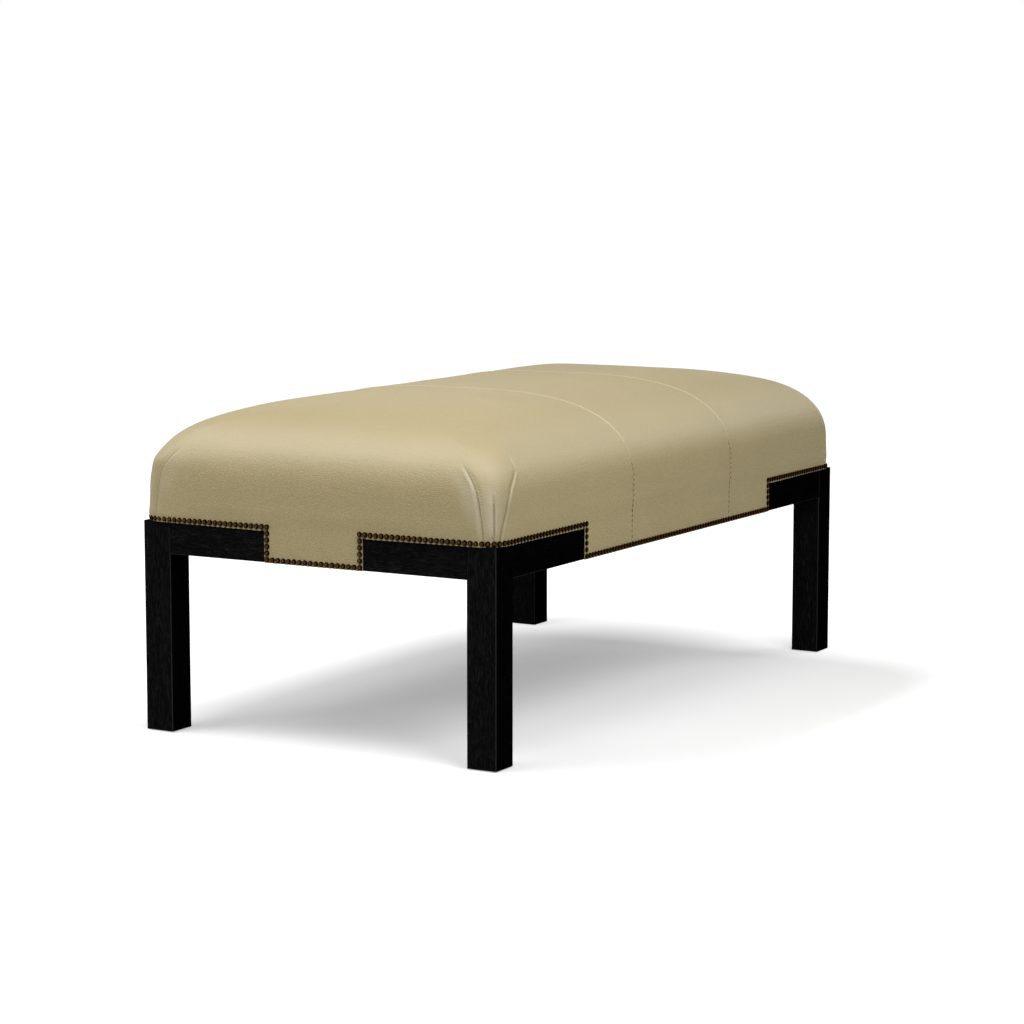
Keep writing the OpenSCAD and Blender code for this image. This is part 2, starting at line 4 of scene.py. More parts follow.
import bmesh
import bpy
import numpy as np
from bpy.props import FloatProperty, FloatVectorProperty, IntProperty, PointerProperty
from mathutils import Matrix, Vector


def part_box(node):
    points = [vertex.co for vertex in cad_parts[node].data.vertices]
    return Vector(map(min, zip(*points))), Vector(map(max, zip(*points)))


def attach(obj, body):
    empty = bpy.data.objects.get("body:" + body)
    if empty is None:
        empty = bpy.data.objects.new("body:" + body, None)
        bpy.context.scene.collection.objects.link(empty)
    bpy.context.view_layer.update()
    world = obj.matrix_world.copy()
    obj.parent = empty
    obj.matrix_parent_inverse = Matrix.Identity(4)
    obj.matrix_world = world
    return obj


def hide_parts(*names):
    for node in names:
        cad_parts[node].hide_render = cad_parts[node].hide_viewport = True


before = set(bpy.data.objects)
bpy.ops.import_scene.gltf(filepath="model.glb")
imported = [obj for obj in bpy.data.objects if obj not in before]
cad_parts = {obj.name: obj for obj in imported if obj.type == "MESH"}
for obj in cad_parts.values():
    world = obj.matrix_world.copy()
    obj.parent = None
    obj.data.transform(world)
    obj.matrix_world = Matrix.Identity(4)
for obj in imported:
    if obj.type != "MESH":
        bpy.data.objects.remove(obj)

bl_info = {
    "name": "Cocktail ottoman",
    "version": (1, 0, 0),
    "blender": (4, 5, 0),
    "location": "3D View > Sidebar > Ottoman",
    "description": "Leather cover, nails, stitching, wood and stage of a low upholstered bench",
    "category": "Object",
}

MM = 0.001
CORNERS = ("front_left", "front_right", "back_left", "back_right")
SIDES = ("front", "back", "left", "right")

# The frame gives every size that the dressing has to meet
HALF_L, HALF_W, WOOD_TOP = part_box("leg_back_right")[1]
RAIL_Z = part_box("rail_back")[0][2]
SEAM_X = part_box("leather_center")[1][0]
CROWN_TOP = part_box("leather_right")[1][2]
FOAM_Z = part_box("foam_base")[0][2]
SLAB_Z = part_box("foam_base")[1][2]


def length(name, description, default_mm, **settings):
    """A size in millimetres as a Blender length property."""
    return FloatProperty(name=name, description=description, default=default_mm * MM,
                         subtype="DISTANCE", unit="LENGTH", precision=4, **settings)


def number(name, description, default, low, high):
    """A plain number between two limits."""
    return FloatProperty(name=name, description=description, default=default, min=low, max=high)


def power(name, description, default):
    """The power of a lamp in watts."""
    return FloatProperty(name=name, description=description, default=default, min=0.0, subtype="POWER",
                         unit="POWER")


def tint(name, description, code):
    """A colour property whose default is an sRGB hex value, kept in linear light."""
    return FloatVectorProperty(name=name, description=description, default=linear(code)[:3],
                               subtype="COLOR", min=0.0, max=1.0, size=3)


def linear(code):
    """Linear RGBA of an sRGB hex value such as #c8bd94."""
    parts = [int(code[i:i + 2], 16) / 255 for i in (1, 3, 5)]
    return tuple(c / 12.92 if c <= 0.04045 else ((c + 0.055) / 1.055) ** 2.4 for c in parts) + (1.0,)


class CushionSizes(bpy.types.PropertyGroup):
    proud: length("Leather over the wood", "Distance of the leather's face from the face of the legs", 1.7)
    leather_t: length("Leather thickness", "Thickness of the hide", 1.4)
    side_bulge: length("Side bulge", "How far the sides swell out above the hem", 2.6)
    tuck_h: length("Tuck height", "Height over which the sides swell out from the hem", 32)
    side_h: length("Side height", "Height of the sides up to the start of the crown", 56.5)
    run_x: length("Crown run, short side", "Distance over which the crown rises from a short side", 310)
    run_y: length("Crown run, long side", "Distance over which the crown rises from a long side", 345)
    top_power: number("Crown power, top", "Power of the crown's curve along the top", 3.45, 2.0, 5.0)
    side_power: number("Crown power, side", "Power of the crown's curve along the side", 2.34, 2.0, 4.0)
    ridge_w: length("Ridge", "Half the width of the flat along the top of the crown", 14)
    corner_r: length("Corner radius", "Radius of the cushion's corners at the hem", 33.3)
    corner_swell: length("Corner growth", "Growth of the corner radius up to the shoulder", 9.9)
    swell_h: length("Growth height", "Height over which the corner radius grows", 110)
    corner_power: number("Corner opening", "Power with which the corners open out", 8.0, 2.0, 14.0)
    seam_clear: length("Seam clearance", "Distance of the opened corners from the seams", 18)
    fold_depth: length("Fold relief", "Height of the folds at the corners", 2.5)
    crease_h: length("Crease height", "Height of the crease down the middle of a corner", 86)
    side_ease: length("Side ease", "How far the stuffed sides stay inside the cut of the cover", 1.5)
    crown_lift: length("Crown lift", "How far the stuffing lifts the top over the cut of the cover", 1.4)


class TrimSizes(bpy.types.PropertyGroup):
    apron_x: length("Apron, long side", "Half the length of the apron on a long side", 325.5)
    apron_y: length("Apron, short side", "Half the length of the apron on a short side", 86.5)
    nail_d: length("Nail head", "Diameter of a nail's head", 8.4)
    nail_h: length("Nail height", "Height of a nail's head", 2.9)
    nail_pitch: length("Nail spacing", "Distance between two nails", 9.4)
    nail_set: length("Nail set", "Distance of the nails from the edge of the leather", 4.8)
    stitch_pitch: length("Stitch spacing", "Distance between two stitches", 8.0)
    stitch_l: length("Stitch length", "Length of a stitch that shows", 4.6)
    thread_d: length("Thread", "Diameter of the thread", 1.0)
    seed: IntProperty(name="Seed", description="Seed for the small irregularities", default=7, min=0)


class DeckSizes(bpy.types.PropertyGroup):
    board_t: length("Deck board", "Thickness of the deck boards", 22)
    web_w: length("Webbing width", "Width of a strip of webbing", 57)
    web_t: length("Webbing thickness", "Thickness of a strip of webbing", 1.2)
    web_space: length("Webbing space", "Space between two strips of webbing", 38)
    web_margin: length("Webbing margin", "Distance of the folded ends from the edge of the deck", 4)
    cloth_t: length("Deck cloth", "Thickness of the deck cloth", 0.8)
    cloth_r: length("Deck cloth corner", "Radius of the deck cloth's corners", 28.6)
    cover_t: length("Dust cover", "Thickness of the dust cover", 0.6)
    leg_room: length("Leg notch", "Side of the dust cover's notch round a leg, from the leg's outer faces", 49.3)
    cover_sag: length("Dust cover sag", "How far the dust cover hangs down in its middle", 4)


class Finishes(bpy.types.PropertyGroup):
    leather: tint("Leather", "Khaki hide", "#b0a179")
    show_wood: tint("Show wood", "Ebonised legs and rails", "#0f0f10")
    nails: tint("Nails", "Antique brass", "#5a3f1f")
    thread: tint("Thread", "Seam thread", "#4d452f")
    frame_wood: tint("Frame wood", "Sawn hardwood inside", "#c9a877")


class StageSizes(bpy.types.PropertyGroup):
    floor: length("Floor", "Side of the floor", 40000)
    sky: number("Sky", "Level of the even light round the object", 0.06, 0.0, 1.0)
    front: power("Front lamp", "Power of the lamp over the front left corner", 34.0)
    over: power("Top lamp", "Power of the lamp over the left end", 16.0)
    back: power("Back lamp", "Power of the lamp over the back left corner", 25.0)
    left: power("Left lamp", "Power of the lamp beyond the left end", 17.0)
    right: power("Right lamp", "Power of the lamp beside the right end", 15.0)


def chosen(context, *names):
    """The named groups of sizes."""
    return [getattr(context.scene, "ottoman_" + name) for name in names]


# Meshes

def new_piece(name, data):
    """A new object at the origin."""
    piece = bpy.data.objects.new(name, data)
    bpy.context.scene.collection.objects.link(piece)
    return piece


def repair(mesh, merge, smooth_faces=True, outwards=False, drop_loose=False):
    """Merges doubles, drops faces without area, shades, and turns faces outwards or drops loose points."""
    bm = bmesh.new()
    bm.from_mesh(mesh)
    bmesh.ops.remove_doubles(bm, verts=bm.verts, dist=merge)
    bmesh.ops.dissolve_degenerate(bm, edges=bm.edges, dist=0.01 * MM)
    for face in bm.faces:
        face.smooth = smooth_faces
    if drop_loose:
        bmesh.ops.delete(bm, geom=[v for v in bm.verts if not v.link_faces], context="VERTS")
    if outwards:
        bmesh.ops.recalc_face_normals(bm, faces=bm.faces)
    bm.to_mesh(mesh)
    bm.free()


def mesh_object(name, points, faces, **repairs):
    """A new object from points in metres, with doubles merged."""
    mesh = bpy.data.meshes.new(name)
    mesh.from_pydata([tuple(p) for p in points], [], [tuple(f) for f in faces])
    repair(mesh, 0.02 * MM, **repairs)
    mesh.update()
    return new_piece(name, mesh)


def grid_faces(rows, columns, closed=False):
    """Faces of a grid of points, numbered row by row."""
    last = columns if closed else columns - 1
    return [(j * columns + i, j * columns + (i + 1) % columns,
             (j + 1) * columns + (i + 1) % columns, (j + 1) * columns + i)
            for j in range(rows - 1) for i in range(last)]


def applied(piece):
    """The piece with its modifiers turned into a plain mesh."""
    depsgraph = bpy.context.evaluated_depsgraph_get()
    mesh = bpy.data.meshes.new_from_object(piece.evaluated_get(depsgraph), depsgraph=depsgraph)
    piece.modifiers.clear()
    old = piece.data
    piece.data = mesh
    bpy.data.meshes.remove(old)
    mesh.name = piece.name
    return piece


def finish_piece(piece, slot, material, *nodes):
    """Gives a piece its material and its body, and hides the nodes that it stands for. The slot is not used."""
    piece.data.materials.clear()
    piece.data.materials.append(material)
    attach(piece, "root")
    if nodes:
        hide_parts(*nodes)
    return piece


# Surface of the cushion

def smooth(t):
    """From 0 to 1 with a soft start and end."""
    t = np.clip(t, 0, 1)
    return t * t * (3 - 2 * t)


def bulge(c, z):
    """How far the sides swell out at height z, from the hem up to the top of the tuck."""
    return c.side_bulge * smooth((z - WOOD_TOP) / c.tuck_h)


def outline(c, side_z, angle, off=0.0):
    """Height, half length, half width and corner radii of rows on the cushion, set in by off."""
    crown_h = CROWN_TOP - WOOD_TOP - c.side_h
    z = side_z + (crown_h - off) * np.sin(angle) ** (2 / c.side_power)
    out = bulge(c, side_z) - off
    inset = 1 - np.cos(angle) ** (2 / c.top_power)
    a = HALF_L + c.proud + out - (c.run_x - off) * inset
    b = HALF_W + c.proud + out - (c.run_y - off) * inset
    opened = np.sin(angle) ** c.corner_power
    r = c.corner_r + out + c.corner_swell * np.clip((z - WOOD_TOP) / c.swell_h, 0, 1)
    rx = r + (a - SEAM_X - c.seam_clear - r) * opened
    ry = np.minimum(r + (b - r) * opened, 0.9 * b)
    return z, a, b, rx, ry, opened


def ridge_angle(c):
    """Angle at which the crown has come in to the flat along the top."""
    return math.acos((1 - (HALF_W + c.proud - c.ridge_w) / c.run_y) ** (c.top_power / 2))


def rows(c, side_step, shoulder_step, top_step, shoulder=0.455, low=None):
    """Rows as side height and crown angle: close together up to the shoulder, wider over the top."""
    side_top = WOOD_TOP + c.side_h
    low = WOOD_TOP if low is None else low
    count = max(1, round((side_top - low) / side_step))
    side = np.linspace(low, side_top, count + 1)
    angle = np.linspace(0, ridge_angle(c), 4000)
    z, _, b, _, _, _ = outline(c, side_top, angle)
    path = np.concatenate([[0], np.cumsum(np.hypot(np.diff(z), np.diff(b)))])
    step = np.where(z < shoulder, shoulder_step,
                    shoulder_step + (top_step - shoulder_step) * smooth((z - shoulder) / (40 * MM)))
    mark = np.concatenate([[0], np.cumsum(np.diff(path) / ((step[1:] + step[:-1]) / 2))])
    crown = np.interp(np.linspace(0, mark[-1], round(mark[-1]) + 1)[1:], mark, angle)
    return np.concatenate([side, np.full(len(crown), side_top)]), np.concatenate([np.zeros(len(side)), crown])


def quarter(c, t, side_z, angle, counts, seam_marks, off=0.0):
    """Points of the +X +Y quarter from the middle of the short end to the seam, as (rows, columns, 3), with
    each point's distance along its row from the middle of the corner."""
    z, a, b, rx, ry, opened = outline(c, side_z, angle, off)
    n_apron, n_end, n_corner, n_long, n_drop = counts
    # Straight lengths beside a corner that belong to its fine columns, because the folds run over them
    end_margin, long_margin = 30 * MM, 45 * MM
    flat_y = HALF_W + c.proud - c.corner_r - end_margin
    flat_x = HALF_L + c.proud - c.corner_r - long_margin
    share_y = t.apron_y / flat_y
    share_x = (t.apron_x - SEAM_X) / (flat_x - SEAM_X)
    turn = np.linspace(0, math.pi / 2, 241)
    points, marks = [], []
    for j in range(len(z)):
        end_y = b[j] - ry[j] - end_margin * (1 - opened[j])
        end_x = a[j] - rx[j] - long_margin * (1 - opened[j])
        speed = np.hypot(rx[j] * np.sin(turn), ry[j] * np.cos(turn))
        arc = np.concatenate([[0], np.cumsum((speed[1:] + speed[:-1]) / 2 * np.diff(turn))])
        lead, tail = b[j] - ry[j] - end_y, a[j] - rx[j] - end_x
        middle = lead + np.interp(math.pi / 4, turn, arc)
        q = np.linspace(0, lead + arc[-1] + tail, n_corner + 1)
        u = np.interp(q - lead, arc, turn)
        corner_x = np.where(q > lead + arc[-1], a[j] - rx[j] - (q - lead - arc[-1]),
                            a[j] - rx[j] + rx[j] * np.cos(u))
        corner_y = np.where(q < lead, end_y + q, b[j] - ry[j] + ry[j] * np.sin(u))
        y0 = np.concatenate([np.linspace(0, end_y * share_y, n_apron + 1)[:-1],
                             np.linspace(end_y * share_y, end_y, n_end + 1)[:-1]])
        stop = SEAM_X + (end_x - SEAM_X) * share_x
        near = SEAM_X + seam_marks * min(1, (end_x - SEAM_X) / (20 * MM))
        x1 = np.concatenate([np.linspace(end_x, stop, n_long + 1)[1:], np.linspace(stop, near[0], n_drop + 1)[1:-1],
                             near])
        row_x = np.concatenate([np.full(len(y0), a[j]), corner_x, x1])
        row_y = np.concatenate([y0, corner_y, np.full(len(x1), b[j])])
        far = q[-1] - middle
        marks.append(np.concatenate([y0 - end_y - middle, q - middle, far + end_x - x1]))
        points.append(np.column_stack([row_x, row_y, np.full(len(row_x), z[j])]))
    return np.array(points), np.array(marks)


def grid_normals(p):
    """Unit normals of a grid of points whose columns run anticlockwise and rows run up."""
    along = np.gradient(p, axis=1)
    up = np.gradient(p, axis=0)
    n = np.cross(along, up)
    return n / np.maximum(np.linalg.norm(n, axis=2, keepdims=True), 1e-12)


# Height of the hem at a corner, in millimetres
FOLD_FOOT = 325
# Routes of the two folds of a corner: height above the floor and distance from the corner's middle
SHORT_FOLD = np.array([(324, 14.2), (337, 16), (354, 18), (371, 20.3), (388, 23), (405, 26), (413, 28), (421, 31),
                       (428, 33.6), (435, 36.6), (450, 43)]) * MM
LONG_FOLD = np.array([(324, 7), (337.5, 10), (353, 14), (369.5, 20), (387, 25.7), (403, 33.4), (417, 42.5),
                      (425, 48.5), (430, 52.4), (433, 53), (436, 52), (441, 49.7), (446, 48.4), (456, 46)]) * MM


def bump(d, centre, width):
    """A round bump of height 1 at a place in metres, with its centre and its width in millimetres."""
    return np.exp(-((d - centre * MM) / (width * MM)) ** 2)


def profile(d, *bumps):
    """A cross-section as a sum of bumps and hollows, each with its height, its centre and its width."""
    return sum(height * bump(d, centre, width) for height, centre, width in bumps)


def rising(z, start, end):
    """0 below start and 1 above end, both in millimetres."""
    return smooth((z - start * MM) / ((end - start) * MM))


def fading(z, start, end):
    """1 below start and 0 above end, both in millimetres."""
    return 1 - rising(z, start, end)


# Folds of each corner: strength of the short side's fold, of the long side's fold and of the middle crease, how
# far the two folds lie from their routes, and how much fuller the shoulder is over them, both in millimetres
FOLDS = {"front_left": (1.0, 1.0, 1.0, 0.0, 0.0), "back_left": (0.55, 0.6, 0.6, 5.0, 2.2),
         "front_right": (0.8, 0.1, 0.5, 0.0, 0.0), "back_right": (0.8, 0.7, 0.8, -2.0, 0.0)}


def fold_relief(c, z, s, corner):
    """Folds of a corner at height z and distance s along the row: their height, how much painted shade each point
    gets in a crease and how much painted highlight it gets on a ridge."""
    short, long, centre, shift, fuller = FOLDS[corner]
    foot = 0.5 + 0.5 * smooth((z - WOOD_TOP - 8 * MM) / (14 * MM))
    # Short-end fold: a rounded ridge that laps over a soft hollow
    d = -s - np.interp(z, SHORT_FOLD[:, 0], SHORT_FOLD[:, 1]) - shift * MM
    live = short * foot * fading(z, 420, 444)
    h = live * profile(d, (1.1, 4.6, 4.4), (0.5, 10, 7), (-1.8, 0, 1.1), (-0.8, -3.8, 4.4))
    # Painted shade darkens the crease and the hollow, and painted highlight pales the ridge and a broad band beside
    # the fold
    crease = live * profile(d, (0.9, -0.3, 1.1), (0.12, -4.5, 3.5))
    rubbed = 0.3 * live * bump(d, 4.6, 4.2)
    rubbed = rubbed + 0.65 * short * bump(d, 14, 16) * rising(z, 345, 390) * fading(z, 408, 445)
    # Long-side fold: a sharp crease with a narrow rim, which turns back into a small swollen tip
    d = s - np.interp(z, LONG_FOLD[:, 0], LONG_FOLD[:, 1]) - shift * MM
    live = long * foot * fading(z, 424, 434)
    rim = 2.3 + 2.2 * rising(z, 400, 424)
    h = h + live * profile(d, (1.5, rim, 1.7), (0.4, 8, 5), (-1.9, 0, 1.15), (-0.7, -3.2, 3.5))
    # Painted shade darkens the crease and the inside of the tip, and painted highlight pales the rim and the tip
    crease = crease + live * bump(d, -0.1, 1.3)
    rubbed = rubbed + 0.6 * live * bump(d, rim, 1.4)
    tip = long * rising(z, 427, 432) * fading(z, 439, 452)
    h = h + tip * profile(d, (1.9, 0.4, 2.2), (-1.0, -3.6, 1.4))
    crease = crease + 0.6 * tip * fading(z, 430, 440) * bump(d, -3.6, 1.2)
    rubbed = rubbed + 0.7 * tip * bump(d, 0.3, 2.2)
    # Crease down the middle, between a soft crest and a narrow rim
    crease_top = FOLD_FOOT + c.crease_h / MM
    live = centre * foot * fading(z, crease_top - 30, crease_top)
    h = h + live * profile(s, (1.0, 2.2, 1.3), (-1.6, 0.2, 1.0), (1.4, -3.8, 4.4), (0.3, 6, 3))
    # Painted shade darkens the middle crease, and painted highlight pales its crest and rim
    crease = crease + 0.9 * live * bump(s, 0.2, 1.1)
    rubbed = rubbed + live * profile(s, (0.45, 2.4, 1.2), (0.2, -4.0, 3.2))
    # Painted highlight: the hide between the two folds is painted paler
    rubbed = rubbed + 0.85 * centre * bump(s, -3, 17) * rising(z, FOLD_FOOT, 355) * fading(z, 392, 428)
    shoulder = profile(z, (1, 418, 15), (0.9, 337, 8)) * bump(s, 0, 70)
    return c.fold_depth / 2 * h + fuller * MM * shoulder, np.clip(crease, 0, 1), np.clip(rubbed, 0, 1)


def sag(p, normals):
    """Where the stuffing has settled under the top of the right end, and where it has moved to."""
    x, y, up = p[:, :, 0], p[:, :, 1], np.clip(normals[:, :, 2], 0, 1) ** 2
    hollow = 5.0 * bump(x, 440.5, 66.7) * bump(y, 0, 111.4)
    moved = 2.0 * bump(x, 345, 65.7) * bump(y, 122, 38) + 1.3 * bump(x, 502, 37) * bump(y, 248, 87)
    return (moved - hollow) * up * MM


def waves(p, seed, size, amount):
    """Slow unevenness of a hide over soft stuffing, the same on every run."""
    rng = np.random.default_rng(seed)
    total = np.zeros(p.shape[:2])
    for _ in range(7):
        k = rng.normal(size=3)
        k = k / np.linalg.norm(k) * 2 * math.pi / (size * rng.uniform(0.6, 1.6))
        total = total + np.sin(p @ k + rng.uniform(0, 2 * math.pi))
    return total * amount / math.sqrt(7)


def seam_relief(d, z, pitch):
    """Seam at distance d: its height, and how much painted highlight its edges get. Over the top its folded edges
    stand up in a thin line, and down the sides it is drawn in, with puckers where the stitches pull."""
    over = rising(z, 404, 428)
    raised = profile(d, (1.3, 0, 1.5), (-0.4, 3.4, 1.6))
    drawn = profile(d, (-1.0, 0, 0.9), (-0.3, 0, 3.2), (0.35, 2.6, 1.2))
    pucker = -0.2 * np.cos(2 * math.pi * z / pitch) * bump(d, 1.0, 4.0)
    valley = -0.7 * bump(d, 0, 40)
    # Painted highlight: a pale line along the folded edges over the top, and one beside the seam down the sides
    rubbed = 0.75 * over * bump(d, 0, 1.7) + 0.3 * (1 - over) * bump(d, 2.8, 1.4)
    return (raised * over + (drawn + pucker) * (1 - over) + valley) * MM, rubbed


# Columns of an end quarter: along the apron, on to the corner, round it, on to the apron's end, on to the seam
END_COUNTS = (10, 17, 104, 22, 16)
SEAM_MARKS = np.array([8, 5, 3.2, 2, 1.2, 0.6, 0]) * MM
WAVE_LENGTH, WAVE_HEIGHT = 170 * MM, 0.35 * MM


def grid_fade(side_z):
    """0 at the hem, where the nails hold the hide, and 1 above the tuck."""
    return smooth((side_z - WOOD_TOP) / (40 * MM))


def cut_offset(c, side_z, normals):
    """How far the hide is cut from its nominal face: inside it on the sides, outside it on the top."""
    up = np.clip(normals[:, :, 2], 0, 1) ** 2
    return (c.crown_lift * up - c.side_ease * (1 - up)) * grid_fade(side_z)[:, None]


def main_form(c, t):
    """Outer surface of the cover: the four end quarters with their folds, and the middle one. Each is its points,
    how much painted shade they get in creases and how much painted highlight on ridges and seams."""
    side_z, angle = rows(c, 2.1 * MM, 2.1 * MM, 7 * MM)
    points, s = quarter(c, t, side_z, angle, END_COUNTS, SEAM_MARKS)
    normals = grid_normals(points)
    x = SEAM_X - np.concatenate([SEAM_MARKS[::-1], np.linspace(14 * MM, SEAM_X, 17)])
    middle = np.repeat(points[:, -1:, :], len(x), axis=1)
    middle[:, :, 0] = x
    middle_normals = np.repeat(normals[:, -1:, :], len(x), axis=1)
    middle_normals[:, :, 0] = 0

    def uneven(place, facing):
        """Height of a surface over its nominal face, and how much painted highlight its seam gets."""
        seam, rubbed = seam_relief(np.abs(place[:, :, 0] - SEAM_X), place[:, :, 2], t.stitch_pitch)
        wavy = grid_fade(side_z)[:, None] * waves(place, t.seed, WAVE_LENGTH, WAVE_HEIGHT)
        return cut_offset(c, side_z, facing) + seam + wavy, rubbed

    out, seam_highlight = uneven(points, normals)
    out_middle, middle_highlight = uneven(middle, middle_normals)
    below_ridge = 1 - smooth((angle[:, None] - math.radians(70)) / math.radians(15))
    board = board_face(c, side_z[:, None], points[:, :, 2], s)
    parts = {"center": (middle + out_middle[:, :, None] * middle_normals, np.zeros(middle.shape[:2]),
                        middle_highlight)}
    for corner in CORNERS:
        height, crease, rubbed = fold_relief(c, points[:, :, 2], s, corner)
        settled = sag(points, normals) if corner.endswith("right") else 0
        moved = points + np.maximum(out + settled + height * below_ridge, board)[:, :, None] * normals
        parts[corner] = moved, crease * below_ridge, np.maximum(rubbed * below_ridge, seam_highlight)
    return parts


def board_face(c, side_z, z, s):
    """How far in the hide may lie before it meets the deck boards, whose corners are rounder than its own."""
    room = 1.3 * MM + bulge(c, side_z)
    corner = 0.414 * c.corner_swell * np.clip((z - WOOD_TOP) / c.swell_h, 0, 1) * bump(s, 0, 25)
    return corner - room - 9 * MM * rising(z, 370, 380)


APRON_ROWS = 16


def apron_rows(points):
    """Rows straight down from the first row of the cover, to the bottom of the apron."""
    out = np.repeat(points[:1], APRON_ROWS, axis=0)
    out[:, :, 2] = np.linspace(RAIL_Z, WOOD_TOP, APRON_ROWS + 1)[:-1, None]
    return out


def closing_rows(ridge, width):
    """Rows that close the flat along the top of the crown. At its end they draw in and meet in one point."""
    end = np.abs(ridge[:, 0]).max()
    level = ridge[np.argmin(np.abs(np.abs(ridge[:, 0]) - end + width)), 2]
    closing = []
    for share in (0.6, 0.25, 0):
        row = ridge * [1, share, 1]
        reach = end - (1 - share) * width
        beyond = np.abs(row[:, 0]) > reach
        row[beyond, 0] = np.sign(row[beyond, 0]) * reach
        row[beyond, 2] = share * row[beyond, 2] + (1 - share) * level
        closing.append(row)
    return np.array(closing)


def end_panel(name, c, t, front, back, sign):
    """One end of the cover, from its front seam round the end to its back seam."""
    both = np.concatenate([front[0][:, :0:-1] * [1, -1, 1], back[0]], axis=1)
    marks = [np.concatenate([f[:, :0:-1], b], axis=1) for f, b in zip(front[1:], back[1:])]
    if sign < 0:
        both, marks = (both * [-1, 1, 1])[:, ::-1], [m[:, ::-1] for m in marks]
    closing = closing_rows(both[-1], c.ridge_w)
    grid = np.concatenate([apron_rows(both), both, closing])
    columns = grid.shape[1]
    limit = 0.01 * MM
    hem = np.abs(both[0])
    on_apron = (hem[:, 1] <= t.apron_y + limit) | (hem[:, 0] <= t.apron_x + limit)
    faces = [f for f in grid_faces(*grid.shape[:2])
             if f[0] >= APRON_ROWS * columns or (on_apron[f[0] % columns] and on_apron[f[1] % columns])]
    marks = [np.concatenate([np.repeat(m[:1], APRON_ROWS, axis=0), m, np.repeat(m[-1:], len(closing), axis=0)])
             for m in marks]
    return shell(name, grid, faces, marks, c)


def centre_panel(name, c, part):
    """The middle of the cover, from its front hem over the top to its back hem."""
    middle, *marks = part
    half = np.concatenate([middle, (middle * [-1, 1, 1])[:, -2::-1]], axis=1)[:, ::-1]
    half = np.concatenate([apron_rows(half), half])
    front = half * [1, -1, 1]
    over = np.array([front[-1] * [1, share, 1] for share in (0.6, 0.25, 0, -0.25, -0.6)])
    grid = np.concatenate([front, over, half[::-1]])
    whole = []
    for m in marks:
        m = np.concatenate([m, m[:, -2::-1]], axis=1)
        m = np.concatenate([np.repeat(m[:1], APRON_ROWS, axis=0), m])
        whole.append(np.concatenate([m, np.repeat(m[-1:], len(over), axis=0), m[::-1]]))
    return shell(name, grid, grid_faces(*grid.shape[:2]), whole, c)


def set_attribute(mesh, label, values):
    """Gives every point of a mesh its value, or its vector where there are three numbers a point."""
    kind, key = ("FLOAT", "value") if values.ndim == 1 else ("FLOAT_VECTOR", "vector")
    mesh.attributes.new(label, kind, "POINT").data.foreach_set(key, values.astype(np.float32).ravel())


def shell(name, grid, faces, marks, c):
    """A panel of hide with its thickness. The painted shade of its creases and the painted highlight of its ridges
    and seams are attributes for the material.
    """
    used = sorted({v for f in faces for v in f})
    place = {v: k for k, v in enumerate(used)}
    mesh = bpy.data.meshes.new(name)
    mesh.from_pydata([tuple(p) for p in grid.reshape(-1, 3)[used]], [], [tuple(place[v] for v in f) for f in faces])
    for label, values in zip(("crease", "rubbed"), marks):
        set_attribute(mesh, label, values.reshape(-1)[used])
    repair(mesh, 0.03 * MM)
    piece = new_piece(name, mesh)
    wall = piece.modifiers.new("Hide", "SOLIDIFY")
    wall.thickness, wall.offset, wall.use_even_offset = c.leather_t, -1, False
    return applied(piece)


# Materials

def join(made, *numbered, **named):
    """Gives a node's sockets their values, by place or by name. A node given as a value is linked by its first
    live output."""
    sockets = [*enumerate(numbered), *((key.replace("_", " "), value) for key, value in named.items())]
    for key, value in sockets:
        if isinstance(value, bpy.types.Node):
            value = next(socket for socket in value.outputs if socket.enabled)
        if isinstance(value, bpy.types.NodeSocket):
            made.id_data.links.new(value, made.inputs[key])
        else:
            made.inputs[key].default_value = value


def add(tree, kind, *numbered, **named):
    """Adds one node with its settings, its input values and its links. A name with a capital is a socket and any
    other is a setting. A kind without its family is a shader node."""
    made = tree.nodes.new(kind if "Node" in kind else "ShaderNode" + kind)
    for key, value in named.items():
        if key[0].islower():
            setattr(made, key, value)
    join(made, *numbered, **{key: value for key, value in named.items() if key[0].isupper()})
    return made


def new_material(name, **sockets):
    """A material whose shader has the given values on its own sockets. Gives it, what adds its nodes, its shader
    and the object's own coordinates."""
    material = bpy.data.materials.new(name)
    material.use_nodes = True
    shader = next(n for n in material.node_tree.nodes if n.type == "BSDF_PRINCIPLED")
    join(shader, **sockets)
    node = partial(add, material.node_tree)
    return material, node, shader, node("TexCoord").outputs["Object"]


def rgba(colour):
    """A colour with its alpha."""
    return tuple(colour) + (1.0,)


def shade(colour, factor):
    """A darker or paler tone of a colour."""
    return tuple(min(1.0, v * factor) for v in colour) + (1.0,)


def drawn_out(axis, share):
    """Scale that draws a pattern out along one axis, as grain runs along a board."""
    return tuple(share if k == axis else 1.0 for k in range(3))


